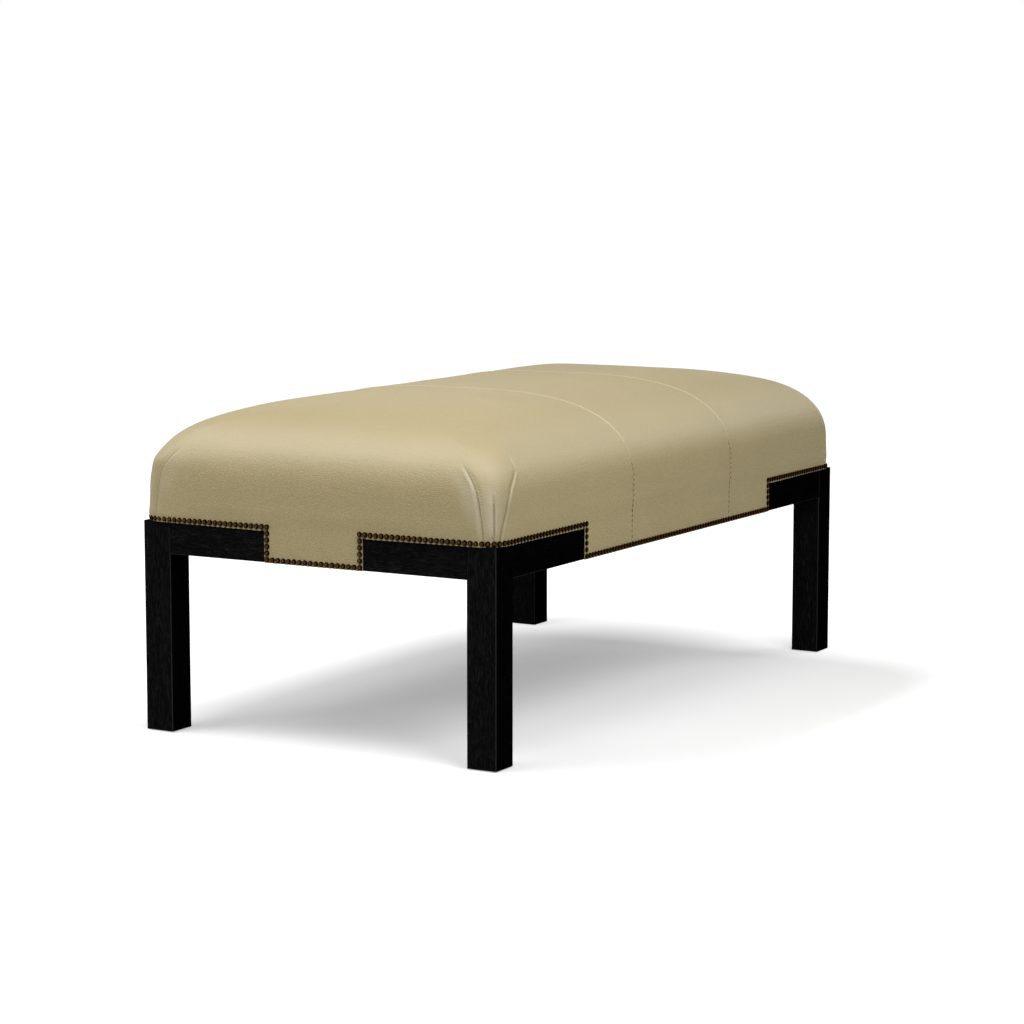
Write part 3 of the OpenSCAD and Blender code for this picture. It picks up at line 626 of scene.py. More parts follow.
def leather_material(colour):
    """Corrected-grain cow hide, drum-dyed and pressed with a pebble grain: a soft even sheen, plump cells with
    darker valleys between them, and slow changes of tone where the hide is fuller."""
    material, node, shader, at = new_material("pebbled_leather")
    warp = node("TexNoise", Vector=at, Scale=160.0, Detail=2.0)
    bent = node("VectorMath", warp.outputs["Color"], Scale=0.0022, operation="SCALE")
    place = node("VectorMath", at, bent, operation="ADD")
    # Cells of 4.2 mm by 3 mm: the real grain is near 2 mm, too fine to show from five metres
    drawn = node("Mapping", Vector=place, Scale=(0.72, 0.72, 1.0))
    cells = node("TexVoronoi", Vector=drawn, Scale=330.0, Randomness=0.9, feature="DISTANCE_TO_EDGE")
    pebble = node("MapRange", Value=cells, From_Max=0.32, interpolation_type="SMOOTHSTEP")
    fine = node("TexNoise", Vector=at, Scale=1400.0, Detail=2.0)
    slow = node("TexNoise", Vector=at, Scale=9.0, Detail=3.0, Roughness=0.5)
    tone = node("Mix", Factor=slow, A=shade(colour, 0.95), B=shade(colour, 1.05), data_type="RGBA")
    # The hide is pulled tight over the crown, where its grain lies flatter than on the sides
    facing = node("SeparateXYZ", node("NewGeometry").outputs["True Normal"])
    loose = node("MapRange", Value=facing.outputs["Z"], From_Min=0.2, From_Max=0.8, To_Min=1.0, To_Max=0.12,
                 interpolation_type="SMOOTHSTEP")
    low = node("MapRange", Value=loose, To_Min=1.0, To_Max=0.9)
    valley = node("MapRange", Value=pebble, To_Min=low, To_Max=1.03)
    grained = node("VectorMath", tone, Scale=valley, operation="SCALE")
    # Painted highlight: ridges of the folds, seam edges and the hide between the folds are painted paler and whiter
    ridge = node("Attribute", attribute_name="rubbed")
    rubbed = node("MapRange", Value=ridge.outputs["Fac"], To_Max=0.8)
    paler = node("Mix", Factor=rubbed, A=grained, B=rgba([0.9 * v + 0.19 for v in colour]), data_type="RGBA")
    # Painted shade: creases and the hide under and between the nail heads are painted darker
    deep = node("Attribute", attribute_name="crease")
    painted_shade = node("MapRange", Value=deep.outputs["Fac"], From_Max=2.0, To_Max=1.0)
    colour_out = node("Mix", Factor=painted_shade, A=paler, B=shade(colour, 0.2), data_type="RGBA")
    gloss = node("MapRange", Value=pebble, To_Min=0.62, To_Max=0.5)
    grain = node("Bump", Height=pebble, Strength=loose, Distance=0.00046)
    # The hide shines most where it is stretched over the shoulder
    stretched = node("MapRange", Value=facing.outputs["Z"], From_Min=0.1, From_Max=0.62, To_Min=0.1,
                     To_Max=1.0, interpolation_type="SMOOTHSTEP")
    flat = node("MapRange", Value=facing.outputs["Z"], From_Min=0.8, From_Max=0.99, To_Min=1.0, To_Max=0.36,
                interpolation_type="SMOOTHSTEP")
    sheen = node("Math", stretched, flat, operation="MULTIPLY")
    pores = node("Bump", Height=fine, Strength=0.15, Distance=0.0001, Normal=grain)
    join(shader, Base_Color=colour_out, Roughness=gloss, Specular_IOR_Level=sheen, Normal=pores)
    return material


def ebonised_material(name, colour, axis):
    """Wire-brushed oak, stained a thin black: matt, with short open pores that run along the piece, a little grey
    on the harder rings, and paler along the eased edges, partly where the stained face wore thin and partly as a
    painted highlight on the arrises."""
    material, node, shader, at = new_material(name, Specular_IOR_Level=0.0)
    # Pores 1.1 mm wide and 9 mm long, drawn coarser than oak's so that they show
    along = node("Mapping", Vector=at, Scale=drawn_out(axis, 0.12))
    pores = node("TexNoise", Vector=along, Scale=560.0, Detail=3.0, Roughness=0.6, Distortion=1.2)
    rings = node("TexNoise", Vector=along, Scale=60.0, Detail=2.0, Distortion=0.6)
    open_grain = node("MapRange", Value=pores, From_Min=0.44, From_Max=0.68, interpolation_type="SMOOTHSTEP")
    mixed = node("Math", open_grain, rings, operation="MULTIPLY")
    tone = node("Mix", Factor=mixed, A=shade(colour, 0.75), B=shade(colour, 5.0), data_type="RGBA")
    facing = node("SeparateXYZ", node("NewGeometry").outputs["True Normal"])
    # Painted light and shade: faces that look along X keep the full tone, and all other faces are painted darker,
    # down to 0.22 of it
    end_face = node("Math", facing, operation="ABSOLUTE")
    level = node("MapRange", Value=end_face, To_Min=0.22, To_Max=1.0)
    face_shaded = node("VectorMath", tone, Scale=level, operation="SCALE")
    # An eased edge is the only face whose normal has two large components
    products = [node("Math", facing.outputs[i], facing.outputs[j], operation="MULTIPLY")
                for i, j in ((0, 1), (1, 2), (0, 2))]
    first, second, third = [node("Math", product, operation="ABSOLUTE") for product in products]
    three = node("Math", node("Math", first, second, operation="ADD"), third, operation="ADD")
    # Painted highlight and wear: the eased edges are painted paler
    edge_wear_and_highlight = node("MapRange", Value=three, From_Min=0.2, From_Max=0.5, To_Max=0.35)
    worn_and_highlight = node("Mix", Factor=edge_wear_and_highlight, A=face_shaded, B=shade(colour, 12.0), data_type="RGBA")
    gloss = node("MapRange", Value=mixed, To_Min=0.62, To_Max=0.46)
    relief = node("Bump", Height=mixed, Strength=0.8, Distance=0.0008)
    join(shader, Base_Color=worn_and_highlight, Roughness=gloss, Normal=relief)
    return material


def sawn_material(name, colour, axis):
    """Sawn and planed hardwood, left bare inside the frame: pale, with soft rings along the board."""
    material, node, shader, at = new_material(name, Roughness=0.72)
    along = node("Mapping", Vector=at, Scale=drawn_out(axis, 0.06))
    rings = node("TexNoise", Vector=along, Scale=90.0, Detail=4.0, Distortion=1.2)
    fibres = node("TexNoise", Vector=along, Scale=900.0, Detail=2.0)
    tone = node("Mix", Factor=rings, A=shade(colour, 0.72), B=shade(colour, 1.12), data_type="RGBA")
    relief = node("Bump", Height=fibres, Strength=0.3, Distance=0.0002)
    join(shader, Base_Color=tone, Normal=relief)
    return material


def brass_material(colour):
    """Brass nail heads, stamped, blackened in acid and relieved by tumbling: nearly black round the rim and in the
    pits, brown metal on the crown of the dome. The black rim is also painted shade and painted dark reflection, and
    the brown crown also a painted highlight."""
    material, node, shader, at = new_material("antique_brass", Specular_IOR_Level=0.0,
                                              Specular_Tint=(0.3, 0.2, 0.12, 1))
    patina = node("TexNoise", Vector=at, Scale=420.0, Detail=3.0)
    # Painted light: the rim is painted nearly black for the shade and dark reflections round each head, and the
    # crown brown for its highlight, over the real blackened finish
    dome = node("Attribute", attribute_name="dome")
    rubbed = node("MapRange", Value=dome.outputs["Fac"], From_Min=0.62, From_Max=0.98,
                  interpolation_type="SMOOTHSTEP")
    worn_and_highlight = node("Math", rubbed, patina, operation="MULTIPLY")
    tone = node("Mix", Factor=worn_and_highlight, A=shade(colour, 0.04), B=shade(colour, 0.95), data_type="RGBA")
    metal = node("MapRange", Value=worn_and_highlight, From_Max=0.4, To_Max=1.0)
    gloss = node("MapRange", Value=worn_and_highlight, From_Max=0.5, To_Min=0.6, To_Max=0.26)
    hammered = node("Bump", Height=patina, Strength=0.4, Distance=0.0003)
    join(shader, Metallic=metal, Base_Color=tone, Roughness=gloss, Normal=hammered)
    return material


def speckled_material(name, comment, dark, light, scale, relief, **sockets):
    """A plain finish with fine specks or cells. The comment says what the real one is."""
    material, node, shader, at = new_material(name, **sockets)
    material["made_from"] = comment
    specks = node("TexVoronoi", Vector=at, Scale=scale)
    tone = node("Mix", Factor=specks, A=linear(dark), B=linear(light), data_type="RGBA")
    pits = node("Bump", Height=specks, Strength=0.4, Distance=relief)
    join(shader, Base_Color=tone, Normal=pits)
    return material


def woven_material(name, comment, dark, light, pitch, relief, **sockets):
    """A plain weave whose yarns lie pitch apart. The comment says what the real one is."""
    material, node, shader, at = new_material(name, **sockets)
    material["made_from"] = comment
    # A wave texture of scale 1 has a band every pi / 10 metres
    warp, weft = [node("TexWave", Vector=at, Scale=math.pi / (10 * pitch), Distortion=0.4, bands_direction=way)
                  for way in "XY"]
    over = node("Math", warp.outputs["Fac"], weft.outputs["Fac"], operation="MULTIPLY")
    tone = node("Mix", Factor=over, A=linear(dark), B=linear(light), data_type="RGBA")
    yarn = node("Bump", Height=over, Strength=0.5, Distance=relief)
    join(shader, Base_Color=tone, Normal=yarn)
    return material


def thread_material(colour):
    """Bonded nylon upholstery thread, twisted: low sheen, with a fine slant that the bump gives."""
    material, node, shader, at = new_material("bonded_thread", Roughness=0.6)
    twist = node("TexWave", Vector=at, Scale=380.0, bands_direction="DIAGONAL")
    tone = node("Mix", Factor=twist.outputs["Fac"], A=shade(colour, 0.75), B=shade(colour, 1.1),
                data_type="RGBA")
    strands = node("Bump", Height=twist.outputs["Fac"], Strength=0.3, Distance=0.0002)
    join(shader, Base_Color=tone, Normal=strands)
    return material


def dress(nodes, material):
    """Gives CAD nodes whose shape is right their material."""
    for name in nodes:
        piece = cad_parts[name]
        piece.data.materials.clear()
        piece.data.materials.append(material)


# Geometry node trees

def new_tree(name, **sockets):
    """A geometry tree with named inputs, each with its kind and its value. Gives the tree, what adds its nodes, its
    input node and its output node."""
    tree = bpy.data.node_groups.new(name, "GeometryNodeTree")
    for way in ("OUTPUT", "INPUT"):
        tree.interface.new_socket(name="Geometry", in_out=way, socket_type="NodeSocketGeometry")
    for label, (kind, value) in sockets.items():
        socket = tree.interface.new_socket(name=label.replace("_", " "), in_out="INPUT",
                                           socket_type="NodeSocket" + kind)
        if value is not None:
            socket.default_value = value
    node = partial(add, tree)
    return tree, node, node("NodeGroupInput"), node("NodeGroupOutput")


def run_tree(piece, tree, **values):
    """Puts the tree on the piece, sets its inputs by their identifiers, and turns the result into a mesh."""
    modifier = piece.modifiers.new(tree.name, "NODES")
    modifier.node_group = tree
    for item in tree.interface.items_tree:
        key = item.name.replace(" ", "_")
        if item.in_out == "INPUT" and key in values:
            modifier[item.identifier] = values[key]
    return applied(piece)


def place_copies(node, result, points, shape, look, finish):
    """Puts a smooth copy of the shape on every point, with its top towards the look, as real geometry."""
    soft = node("GeometryNodeSetShadeSmooth", Geometry=shape, Shade_Smooth=True)
    turned = node("FunctionNodeAlignRotationToVector", Vector=look, axis="Z")
    placed = node("GeometryNodeInstanceOnPoints", Points=points, Instance=soft, Rotation=turned)
    real = node("GeometryNodeRealizeInstances", placed)
    join(result, node("GeometryNodeSetMaterial", Geometry=real, Material=finish))


def nail_tree():
    """Domed nail heads on points. Each point's facing attribute says where its head looks."""
    tree, node, given, result = new_tree(
        "domed_nails", Head_diameter=("Float", 8.4 * MM), Head_height=("Float", 2.9 * MM),
        Unevenness=("Float", 0.06), Seed=("Int", 7), Finish=("Material", None))
    ball = node("GeometryNodeMeshUVSphere", Segments=14, Rings=8, Radius=1.0)
    xyz = node("SeparateXYZ", node("GeometryNodeInputPosition"))
    radius = node("Math", given.outputs["Head diameter"], 0.5, operation="MULTIPLY")
    x = node("Math", xyz, radius, operation="MULTIPLY")
    y = node("Math", xyz.outputs[1], radius, operation="MULTIPLY")
    top = node("Math", xyz.outputs[2], 0.0, operation="MAXIMUM")
    dome = node("Math", top, given.outputs["Head height"], operation="MULTIPLY")
    under = node("Math", xyz.outputs[2], 0.0, operation="MINIMUM")
    z = node("Math", under, 0.4 * MM, dome, operation="MULTIPLY_ADD")
    shape = node("CombineXYZ", x, y, z)
    marked = node("GeometryNodeStoreNamedAttribute", Geometry=ball, Name="dome", Value=top, data_type="FLOAT",
                  domain="POINT")
    head = node("GeometryNodeSetPosition", Geometry=marked, Position=shape)
    facing = node("GeometryNodeInputNamedAttribute", Name="facing", data_type="FLOAT_VECTOR")
    tilt = node("FunctionNodeRandomValue", Min=(-1.0, -1.0, -1.0), Max=(1.0, 1.0, 1.0),
                Seed=given.outputs["Seed"], data_type="FLOAT_VECTOR")
    small = node("VectorMath", tilt, Scale=given.outputs["Unevenness"], operation="SCALE")
    look = node("VectorMath", facing, small, operation="ADD")
    place_copies(node, result, given.outputs["Geometry"], head, look, given.outputs["Finish"])
    return tree


def stitch_tree():
    """Stitches spaced evenly along curves."""
    tree, node, given, result = new_tree(
        "seam_stitches", Spacing=("Float", 9 * MM), Stitch_length=("Float", 5 * MM),
        Thread_diameter=("Float", 1.1 * MM), Finish=("Material", None))
    curve = node("GeometryNodeMeshToCurve", given.outputs["Geometry"])
    spaced = node("GeometryNodeResampleCurve", Curve=curve, Length=given.outputs["Spacing"], mode="LENGTH")
    ball = node("GeometryNodeMeshUVSphere", Segments=8, Rings=6, Radius=0.5)
    size = node("CombineXYZ", given.outputs["Thread diameter"], given.outputs["Thread diameter"],
                given.outputs["Stitch length"])
    stitch = node("GeometryNodeTransform", Geometry=ball, Scale=size)
    place_copies(node, result, spaced, stitch, node("GeometryNodeInputTangent"), given.outputs["Finish"])
    return tree


# Hem and nails follow the same stepped line

def spread(start, stop, pitch):
    """Places from start to stop, about a pitch apart, without the start."""
    count = max(1, round(abs(stop - start) / pitch))
    return [start + (stop - start) * k / count for k in range(1, count + 1)]


def side_size(c, t, side):
    """Half the apron's length, half the straight hem's length and the place of the face of a side."""
    if side in ("front", "back"):
        return t.apron_x, HALF_L + c.proud - c.corner_r, HALF_W + c.proud
    return t.apron_y, HALF_W + c.proud - c.corner_r, HALF_L + c.proud


def nails_of(c, t, side):
    """Nails of the named side: the place of each and the way that its head looks."""
    apron, straight, face = side_size(c, t, side)
    low, high = RAIL_Z + t.nail_set, WOOD_TOP + t.nail_set
    turn = apron - t.nail_set
    half = [(turn, low)] + [(turn, z) for z in spread(low, high, t.nail_pitch)]
    half += [(x, high) for x in spread(turn, straight, t.nail_pitch)]
    radius = c.corner_r + bulge(c, high)
    count = round(radius * math.pi / 4 / t.nail_pitch)
    # The nail in the middle of a corner belongs to the long side
    last = count if side in ("left", "right") else count + 1
    nails = [((x, face, low), (0.0, 1.0, 0.0)) for x in spread(-turn, turn, t.nail_pitch)[:-1]]
    for s in (-1, 1):
        nails += [((s * x, face + bulge(c, z), z), (0.0, 1.0, 0.0)) for x, z in half]
        for a in [math.pi / 4 * k / count for k in range(1, last)]:
            way = (s * math.sin(a), math.cos(a), 0.0)
            nails.append(((s * straight + way[0] * radius, face - c.corner_r + way[1] * radius, high), way))
    to_side = side_turn(side)
    return [(to_side(p), to_side(w)) for p, w in nails]


def side_turn(side):
    """Turns the side at +Y to where the named side is."""
    return {"back": lambda p: (p[0], p[1], p[2]), "front": lambda p: (-p[0], -p[1], p[2]),
            "right": lambda p: (p[1], -p[0], p[2]), "left": lambda p: (-p[1], p[0], p[2])}[side]


HEM_STEP = 1.25 * MM
# Ways in from the leather's edge, along the side and up: on the five stretches of a side, and at their starts
STRETCH_WAYS = ((0, 1), (-1, 0), (0, 1), (1, 0), (0, 1))
START_WAYS = ((0, 1), (-1, 1), (-1, 1), (1, 1), (1, 1))


def hem_line(c, t):
    """The leather's edge all the way round, as place on the face, way in from the edge and way out."""
    line = []
    for side in ("right", "back", "left", "front"):
        apron, straight, face = side_size(c, t, side)
        turn = side_turn(side)
        # Each side is walked anticlockwise, from +u to -u of the side that looks along +Y
        marks = [(straight, WOOD_TOP), (apron, WOOD_TOP), (apron, RAIL_Z), (-apron, RAIL_Z), (-apron, WOOD_TOP),
                 (-straight, WOOD_TOP)]
        for k in range(5):
            (u0, z0), (u1, z1) = marks[k], marks[k + 1]
            count = max(2, round(math.hypot(u1 - u0, z1 - z0) / HEM_STEP))
            for i in range(count):
                f = i / count
                way = STRETCH_WAYS[k] if i else START_WAYS[k]
                line.append((turn((u0 + (u1 - u0) * f, face, z0 + (z1 - z0) * f)),
                             turn((way[0], 0, way[1])), turn((0, 1, 0))))
        count = round(c.corner_r * math.pi / 2 / HEM_STEP)
        for a in [math.pi / 2 * i / count for i in range(count)]:
            way = (-math.sin(a), math.cos(a), 0)
            line.append((turn((-straight + way[0] * c.corner_r, face - c.corner_r + way[1] * c.corner_r, WOOD_TOP)),
                         turn((0, 0, 1)), turn(way)))
    return [np.array(column) for column in zip(*line)]


# Cross-section of the hem: distance in from the edge and height over the face, in millimetres
HEM_SECTION = ((0.2, -0.9), (-0.25, -0.35), (-0.2, 0.25), (0.35, 0.62), (1.3, 0.72), (2.2, 0.66), (3.4, 0.5),
               (4.8, 0.32), (6.2, 0.12), (7.4, -0.05), (8.6, -0.6), (8.6, -1.2))
HEM_FREE = range(1, 10)
PINCH_R = 3.0 * MM
# Beside the aprons the edge hangs 1.3 mm lower than the top of the wood, and less towards the corners
HANG, HANG_START, HANG_END = 1.3, 9 * MM, 170 * MM
# Reach of the painted shade round each nail's centre, and the width over which it fades
NAIL_SHADE_R, NAIL_SHADE_EDGE = 4.9 * MM, 1.4 * MM


class OTTOMAN_OT_leather_cover(bpy.types.Operator):
    """Sews the three panels of the cover over the stuffing"""
    bl_idname = "ottoman.leather_cover"
    bl_label = "Leather cover"

    def execute(self, context):
        c, t, f = chosen(context, "cushion", "trim", "finishes")
        parts = main_form(c, t)
        hide = leather_material(f.leather)
        panels = [(end_panel("cover_right", c, t, parts["front_right"], parts["back_right"], 1), "leather_right"),
                  (centre_panel("cover_center", c, parts["center"]), "leather_center"),
                  (end_panel("cover_left", c, t, parts["front_left"], parts["back_left"], -1), "leather_left")]
        for piece, node_name in panels:
            finish_piece(piece, "leather", hide, node_name)
        return {"FINISHED"}


class OTTOMAN_OT_hem(bpy.types.Operator):
    """Turns the edge of the leather under, pinched where the nails hold it"""
    bl_idname = "ottoman.hem"
    bl_label = "Turned hem"

    def execute(self, context):
        c, t = chosen(context, "cushion", "trim")
        nails = np.array([p for side in SIDES for p, _ in nails_of(c, t, side)])
        place, inwards, outwards = hem_line(c, t)
        at_nail = place + inwards * t.nail_set
        near = np.min(np.linalg.norm(at_nail[:, None, :] - nails[None, :, :], axis=2), axis=1)
        pinch = np.exp(-(near / PINCH_R) ** 2)
        beside = np.where(np.abs(place[:, 1]) > HALF_W, np.abs(place[:, 0]) - t.apron_x,
                          np.abs(place[:, 1]) - t.apron_y)
        hangs = np.where(place[:, 2] > WOOD_TOP - 0.1 * MM, smooth(beside / HANG_START), 0)
        hangs = HANG * hangs * np.clip(1 - beside / HANG_END, 0, 1)
        points = []
        for k, (d, h) in enumerate(HEM_SECTION):
            face_h = h * (1 - 0.75 * pinch) if k in HEM_FREE else np.full(len(place), h)
            edge_d = d + (0.7 * (pinch - 0.5) if k in (1, 2, 3) else 0.0) - hangs * max(0, 1 - d / 4)
            at = place + inwards * (edge_d * MM * np.ones(len(place)))[:, None]
            points.append(at + outwards * (face_h * MM + bulge(c, at[:, 2]))[:, None])
        grid = np.array(points)
        rows_n, cols_n = grid.shape[:2]
        faces = grid_faces(rows_n, cols_n, closed=True)
        faces += [((rows_n - 1) * cols_n + i, (rows_n - 1) * cols_n + (i + 1) % cols_n, (i + 1) % cols_n, i)
                  for i in range(cols_n)]
        piece = mesh_object("cover_hem", grid.reshape(-1, 3), faces, outwards=True)
        # Painted shade: the hide is darkened under and between the nail heads, where shade falls
        co = np.empty(3 * len(piece.data.vertices), dtype=np.float32)
        piece.data.vertices.foreach_get("co", co)
        reach = np.array([np.min(np.linalg.norm(nails - v, axis=1)) for v in co.reshape(-1, 3)])
        nail_shade = 1.8 * (1 - smooth((reach - NAIL_SHADE_R) / NAIL_SHADE_EDGE))
        set_attribute(piece.data, "crease", nail_shade)
        finish_piece(piece, "leather", bpy.data.materials["pebbled_leather"])
        return {"FINISHED"}


class OTTOMAN_OT_nails(bpy.types.Operator):
    """Drives the domed nails along the stepped hem, one group for each side"""
    bl_idname = "ottoman.nails"
    bl_label = "Domed nails"

    def execute(self, context):
        c, t, f = chosen(context, "cushion", "trim", "finishes")
        tree, brass = nail_tree(), brass_material(f.nails)
        for k, side in enumerate(SIDES):
            nails = nails_of(c, t, side)
            piece = mesh_object("nail_heads_" + side, [p for p, _ in nails], [])
            set_attribute(piece.data, "facing", np.array([w for _, w in nails]))
            run_tree(piece, tree, Head_diameter=t.nail_d, Head_height=t.nail_h, Unevenness=0.06, Seed=t.seed + k,
                     Finish=brass)
            finish_piece(piece, "nail_brass", brass, "nails_" + side)
        return {"FINISHED"}


STITCH_SINK = 1.6 * MM


class OTTOMAN_OT_stitches(bpy.types.Operator):
    """Sews a row of stitches down each seam"""
    bl_idname = "ottoman.stitches"
    bl_label = "Seam stitches"

    def execute(self, context):
        c, t, f = chosen(context, "cushion", "trim", "finishes")
        side_z, angle = rows(c, 4 * MM, 4 * MM, 7 * MM)
        z, _, b, _, _, _ = outline(c, side_z, angle)
        front = np.column_stack([np.zeros(len(z)), -b, z])
        drop = np.array([(0, front[0][1], h) for h in np.linspace(RAIL_Z + 9 * MM, WOOD_TOP, 12)[:-1]])
        half = np.concatenate([drop, front])
        path = np.concatenate([half, half[::-1] * [1, -1, 1]])
        # The thread lies a little under the face, and over the top it sinks into the seam
        sunk = STITCH_SINK * rising(path[:, 2], 392, 412)
        path[:, 1] *= (1 - 0.35 * MM / np.maximum(np.abs(path[:, 1]), 20 * MM)) * (1 - sunk / HALF_W)
        path[:, 2] -= sunk
        tree, thread = stitch_tree(), thread_material(f.thread)
        for name, x in (("left", -SEAM_X), ("right", SEAM_X)):
            mesh = bpy.data.meshes.new("seam_stitches_" + name)
            mesh.from_pydata([tuple(p) for p in path + [x, 0, 0]], [(k, k + 1) for k in range(len(path) - 1)], [])
            piece = new_piece("seam_stitches_" + name, mesh)
            run_tree(piece, tree, Spacing=t.stitch_pitch, Stitch_length=t.stitch_l, Thread_diameter=t.thread_d,
                     Finish=thread)
            finish_piece(piece, "leather", thread)
        return {"FINISHED"}


def foam_solid(name, c, t, side_z, angle, off):
    """A closed block of foam through the given rows."""
    points, _ = quarter(c, t, side_z, angle, (4, 8, 12, 10, 8), np.array([0.0]), off)
    middle = np.repeat(points[:, -1:], 6, axis=1)
    middle[:, :, 0] = points[:, -1, 0:1] * np.linspace(1, 0, 7)[1:]
    q = np.concatenate([points, middle], axis=1)
    m = q.shape[1]
    ring = np.concatenate([q, (q * [-1, 1, 1])[:, m - 2::-1], (q * [-1, -1, 1])[:, 1:],
                           (q * [1, -1, 1])[:, m - 2:0:-1]], axis=1)
    shares = (0, 0.25, 0.5, 0.75)
    grid = np.array([ring[0] * [1, f, 1] for f in shares] + list(ring)
                    + [ring[-1] * [1, f, 1] for f in shares[::-1]])
    piece = mesh_object(name, grid.reshape(-1, 3), grid_faces(*grid.shape[:2], closed=True), outwards=True)
    edge = piece.modifiers.new("Cut edge", "BEVEL")
    edge.width, edge.segments, edge.limit_method = 1.5 * MM, 2, "ANGLE"
    return applied(piece)


FOAM_ROOM = 8 * MM


class OTTOMAN_OT_stuffing(bpy.types.Operator):
    """Cuts the two foam slabs that fill the cover"""
    bl_idname = "ottoman.stuffing"
    bl_label = "Foam stuffing"

    def execute(self, context):
        c, t = chosen(context, "cushion", "trim")
        off = c.leather_t + c.side_ease + FOAM_ROOM
        side_top = WOOD_TOP + c.side_h
        angles = np.linspace(0, ridge_angle(c), 400)
        z = outline(c, side_top, angles, off)[0]
        split = float(np.interp(SLAB_Z, z, angles))
        foam = speckled_material("cut_foam", "Open-cell polyurethane foam, sawn: matt and pale, with cells of a "
                                 "millimetre that the saw has opened", "#d8cda6", "#f2ead0", 900.0, 0.0006,
                                 Roughness=0.95)
        lower = np.linspace(0, split, 8)
        upper = np.linspace(split, angles[-1], 16)
        base = foam_solid("stuffing_base", c, t, np.concatenate([[FOAM_Z], np.full(8, side_top)]),
                          np.concatenate([[0], lower]), off)
        crown = foam_solid("stuffing_crown", c, t, np.full(16, side_top), upper, off)
        finish_piece(base, "foam", foam, "foam_base")
        finish_piece(crown, "foam", foam, "foam_crown")
        return {"FINISHED"}


class OTTOMAN_OT_show_wood(bpy.types.Operator):
    """Stains the legs and rails black"""
    bl_idname = "ottoman.show_wood"
    bl_label = "Show wood"

    def execute(self, context):
        colour = context.scene.ottoman_finishes.show_wood
        dress(["leg_" + corner for corner in CORNERS], ebonised_material("ebonised_oak_upright", colour, 2))
        dress(["rail_front", "rail_back"], ebonised_material("ebonised_oak_long", colour, 0))
        dress(["rail_left", "rail_right"], ebonised_material("ebonised_oak_short", colour, 1))
        return {"FINISHED"}


class OTTOMAN_OT_inner_frame(bpy.types.Operator):
    """Finishes the blocks, boards, dowels, screws and glides"""
    bl_idname = "ottoman.inner_frame"
    bl_label = "Inner frame"

    def execute(self, context):
        colour = context.scene.ottoman_finishes.frame_wood
        across = sawn_material("sawn_poplar_across", colour, 1)
        dress(["deck_board_front", "deck_board_back"], sawn_material("sawn_poplar_along", colour, 0))
        dress(["deck_board_left", "deck_board_right", "deck_stretcher_left", "deck_stretcher_center",
               "deck_stretcher_right", "deck_dowels"], across)
        dress(["corner_block_" + corner for corner in CORNERS], sawn_material("sawn_poplar_upright", colour, 2))
        steel = speckled_material("zinc_plated_steel", "Cold-headed steel, bright zinc plated: grey metal with a "
                                  "fine spangle", "#8e9194", "#b9bcbd", 700.0, 0.0001, Metallic=1.0, Roughness=0.38)
        dress(["block_screws", "deck_screws"], steel)
        nylon = speckled_material("moulded_nylon", "Injection-moulded nylon: off-white, satin, with a fine mould "
                                  "texture", "#dcd8cc", "#ebe8de", 1600.0, 0.0001, Roughness=0.45)
        dress(["glide_" + corner for corner in CORNERS], nylon)
        return {"FINISHED"}


def strip_places(span, width, space):
    """Places of the strips of webbing that fit across a span, evenly about its middle."""
    count = int((span + space) // (width + space))
    return np.linspace(-(span - width) / 2, (span - width) / 2, count)


def ribbon(path, width, thickness):
    """Closed strap along a path in the plane of length and height, as points (along, across, up) and faces."""
    path = np.array(path)
    way = np.gradient(path, axis=0)
    way = way / np.linalg.norm(way, axis=1, keepdims=True)
    up = np.column_stack([-way[:, 1], way[:, 0]])
    t, w = thickness / 2, width / 2
    section = [(-w, 0), (-w + t, t), (0, t), (w - t, t), (w, 0), (w - t, -t), (0, -t), (-w + t, -t)]
    points = [(at[0] + n[0] * h, across, at[1] + n[1] * h) for at, n in zip(path, up) for across, h in section]
    faces = grid_faces(len(path), len(section), closed=True)
    end = (len(path) - 1) * len(section)
    faces += [tuple(range(len(section)))[::-1], tuple(range(end, end + len(section)))]
    return np.array(points), faces


def woven_strip(d, half, low, crossings, first_over):
    """Path of one strip: folded double on the boards at its ends, over and under the strips that cross it."""
    t = d.web_t
    fold = d.board_t - 2 * d.web_margin
    turn = [(half - t / 2 + math.sin(a) * t / 2, low + t - math.cos(a) * t / 2) for a in np.linspace(0.3, 2.8, 6)]
    end = [(half - d.board_t, low + t / 2), (half - t / 2, low + t / 2)] + turn + \
          [(half - t / 2, low + 1.5 * t), (half - fold, low + 1.5 * t)]
    marks = np.concatenate([[-half + d.board_t], crossings, [half - d.board_t]])
    heights = [0.0] + [(1 if (k % 2 == 0) == first_over else -1) * t / 2 for k in range(len(crossings))] + [0.0]
    x = np.linspace(-half + d.board_t, half - d.board_t, 6 * len(marks) + 1)
    k = np.clip(np.searchsorted(marks, x, side="right") - 1, 0, len(marks) - 2)
    share = smooth((x - marks[k]) / (marks[k + 1] - marks[k]))
    height = np.array(heights)[k] * (1 - share) + np.array(heights)[k + 1] * share
    rise = smooth((half - d.board_t - np.abs(x)) / (30 * MM))
    field = np.column_stack([x, low + t / 2 + rise * t / 2 + height * rise])
    left = [(-u, z) for u, z in end[::-1]]
    return left + [tuple(q) for q in field[1:-1]] + end


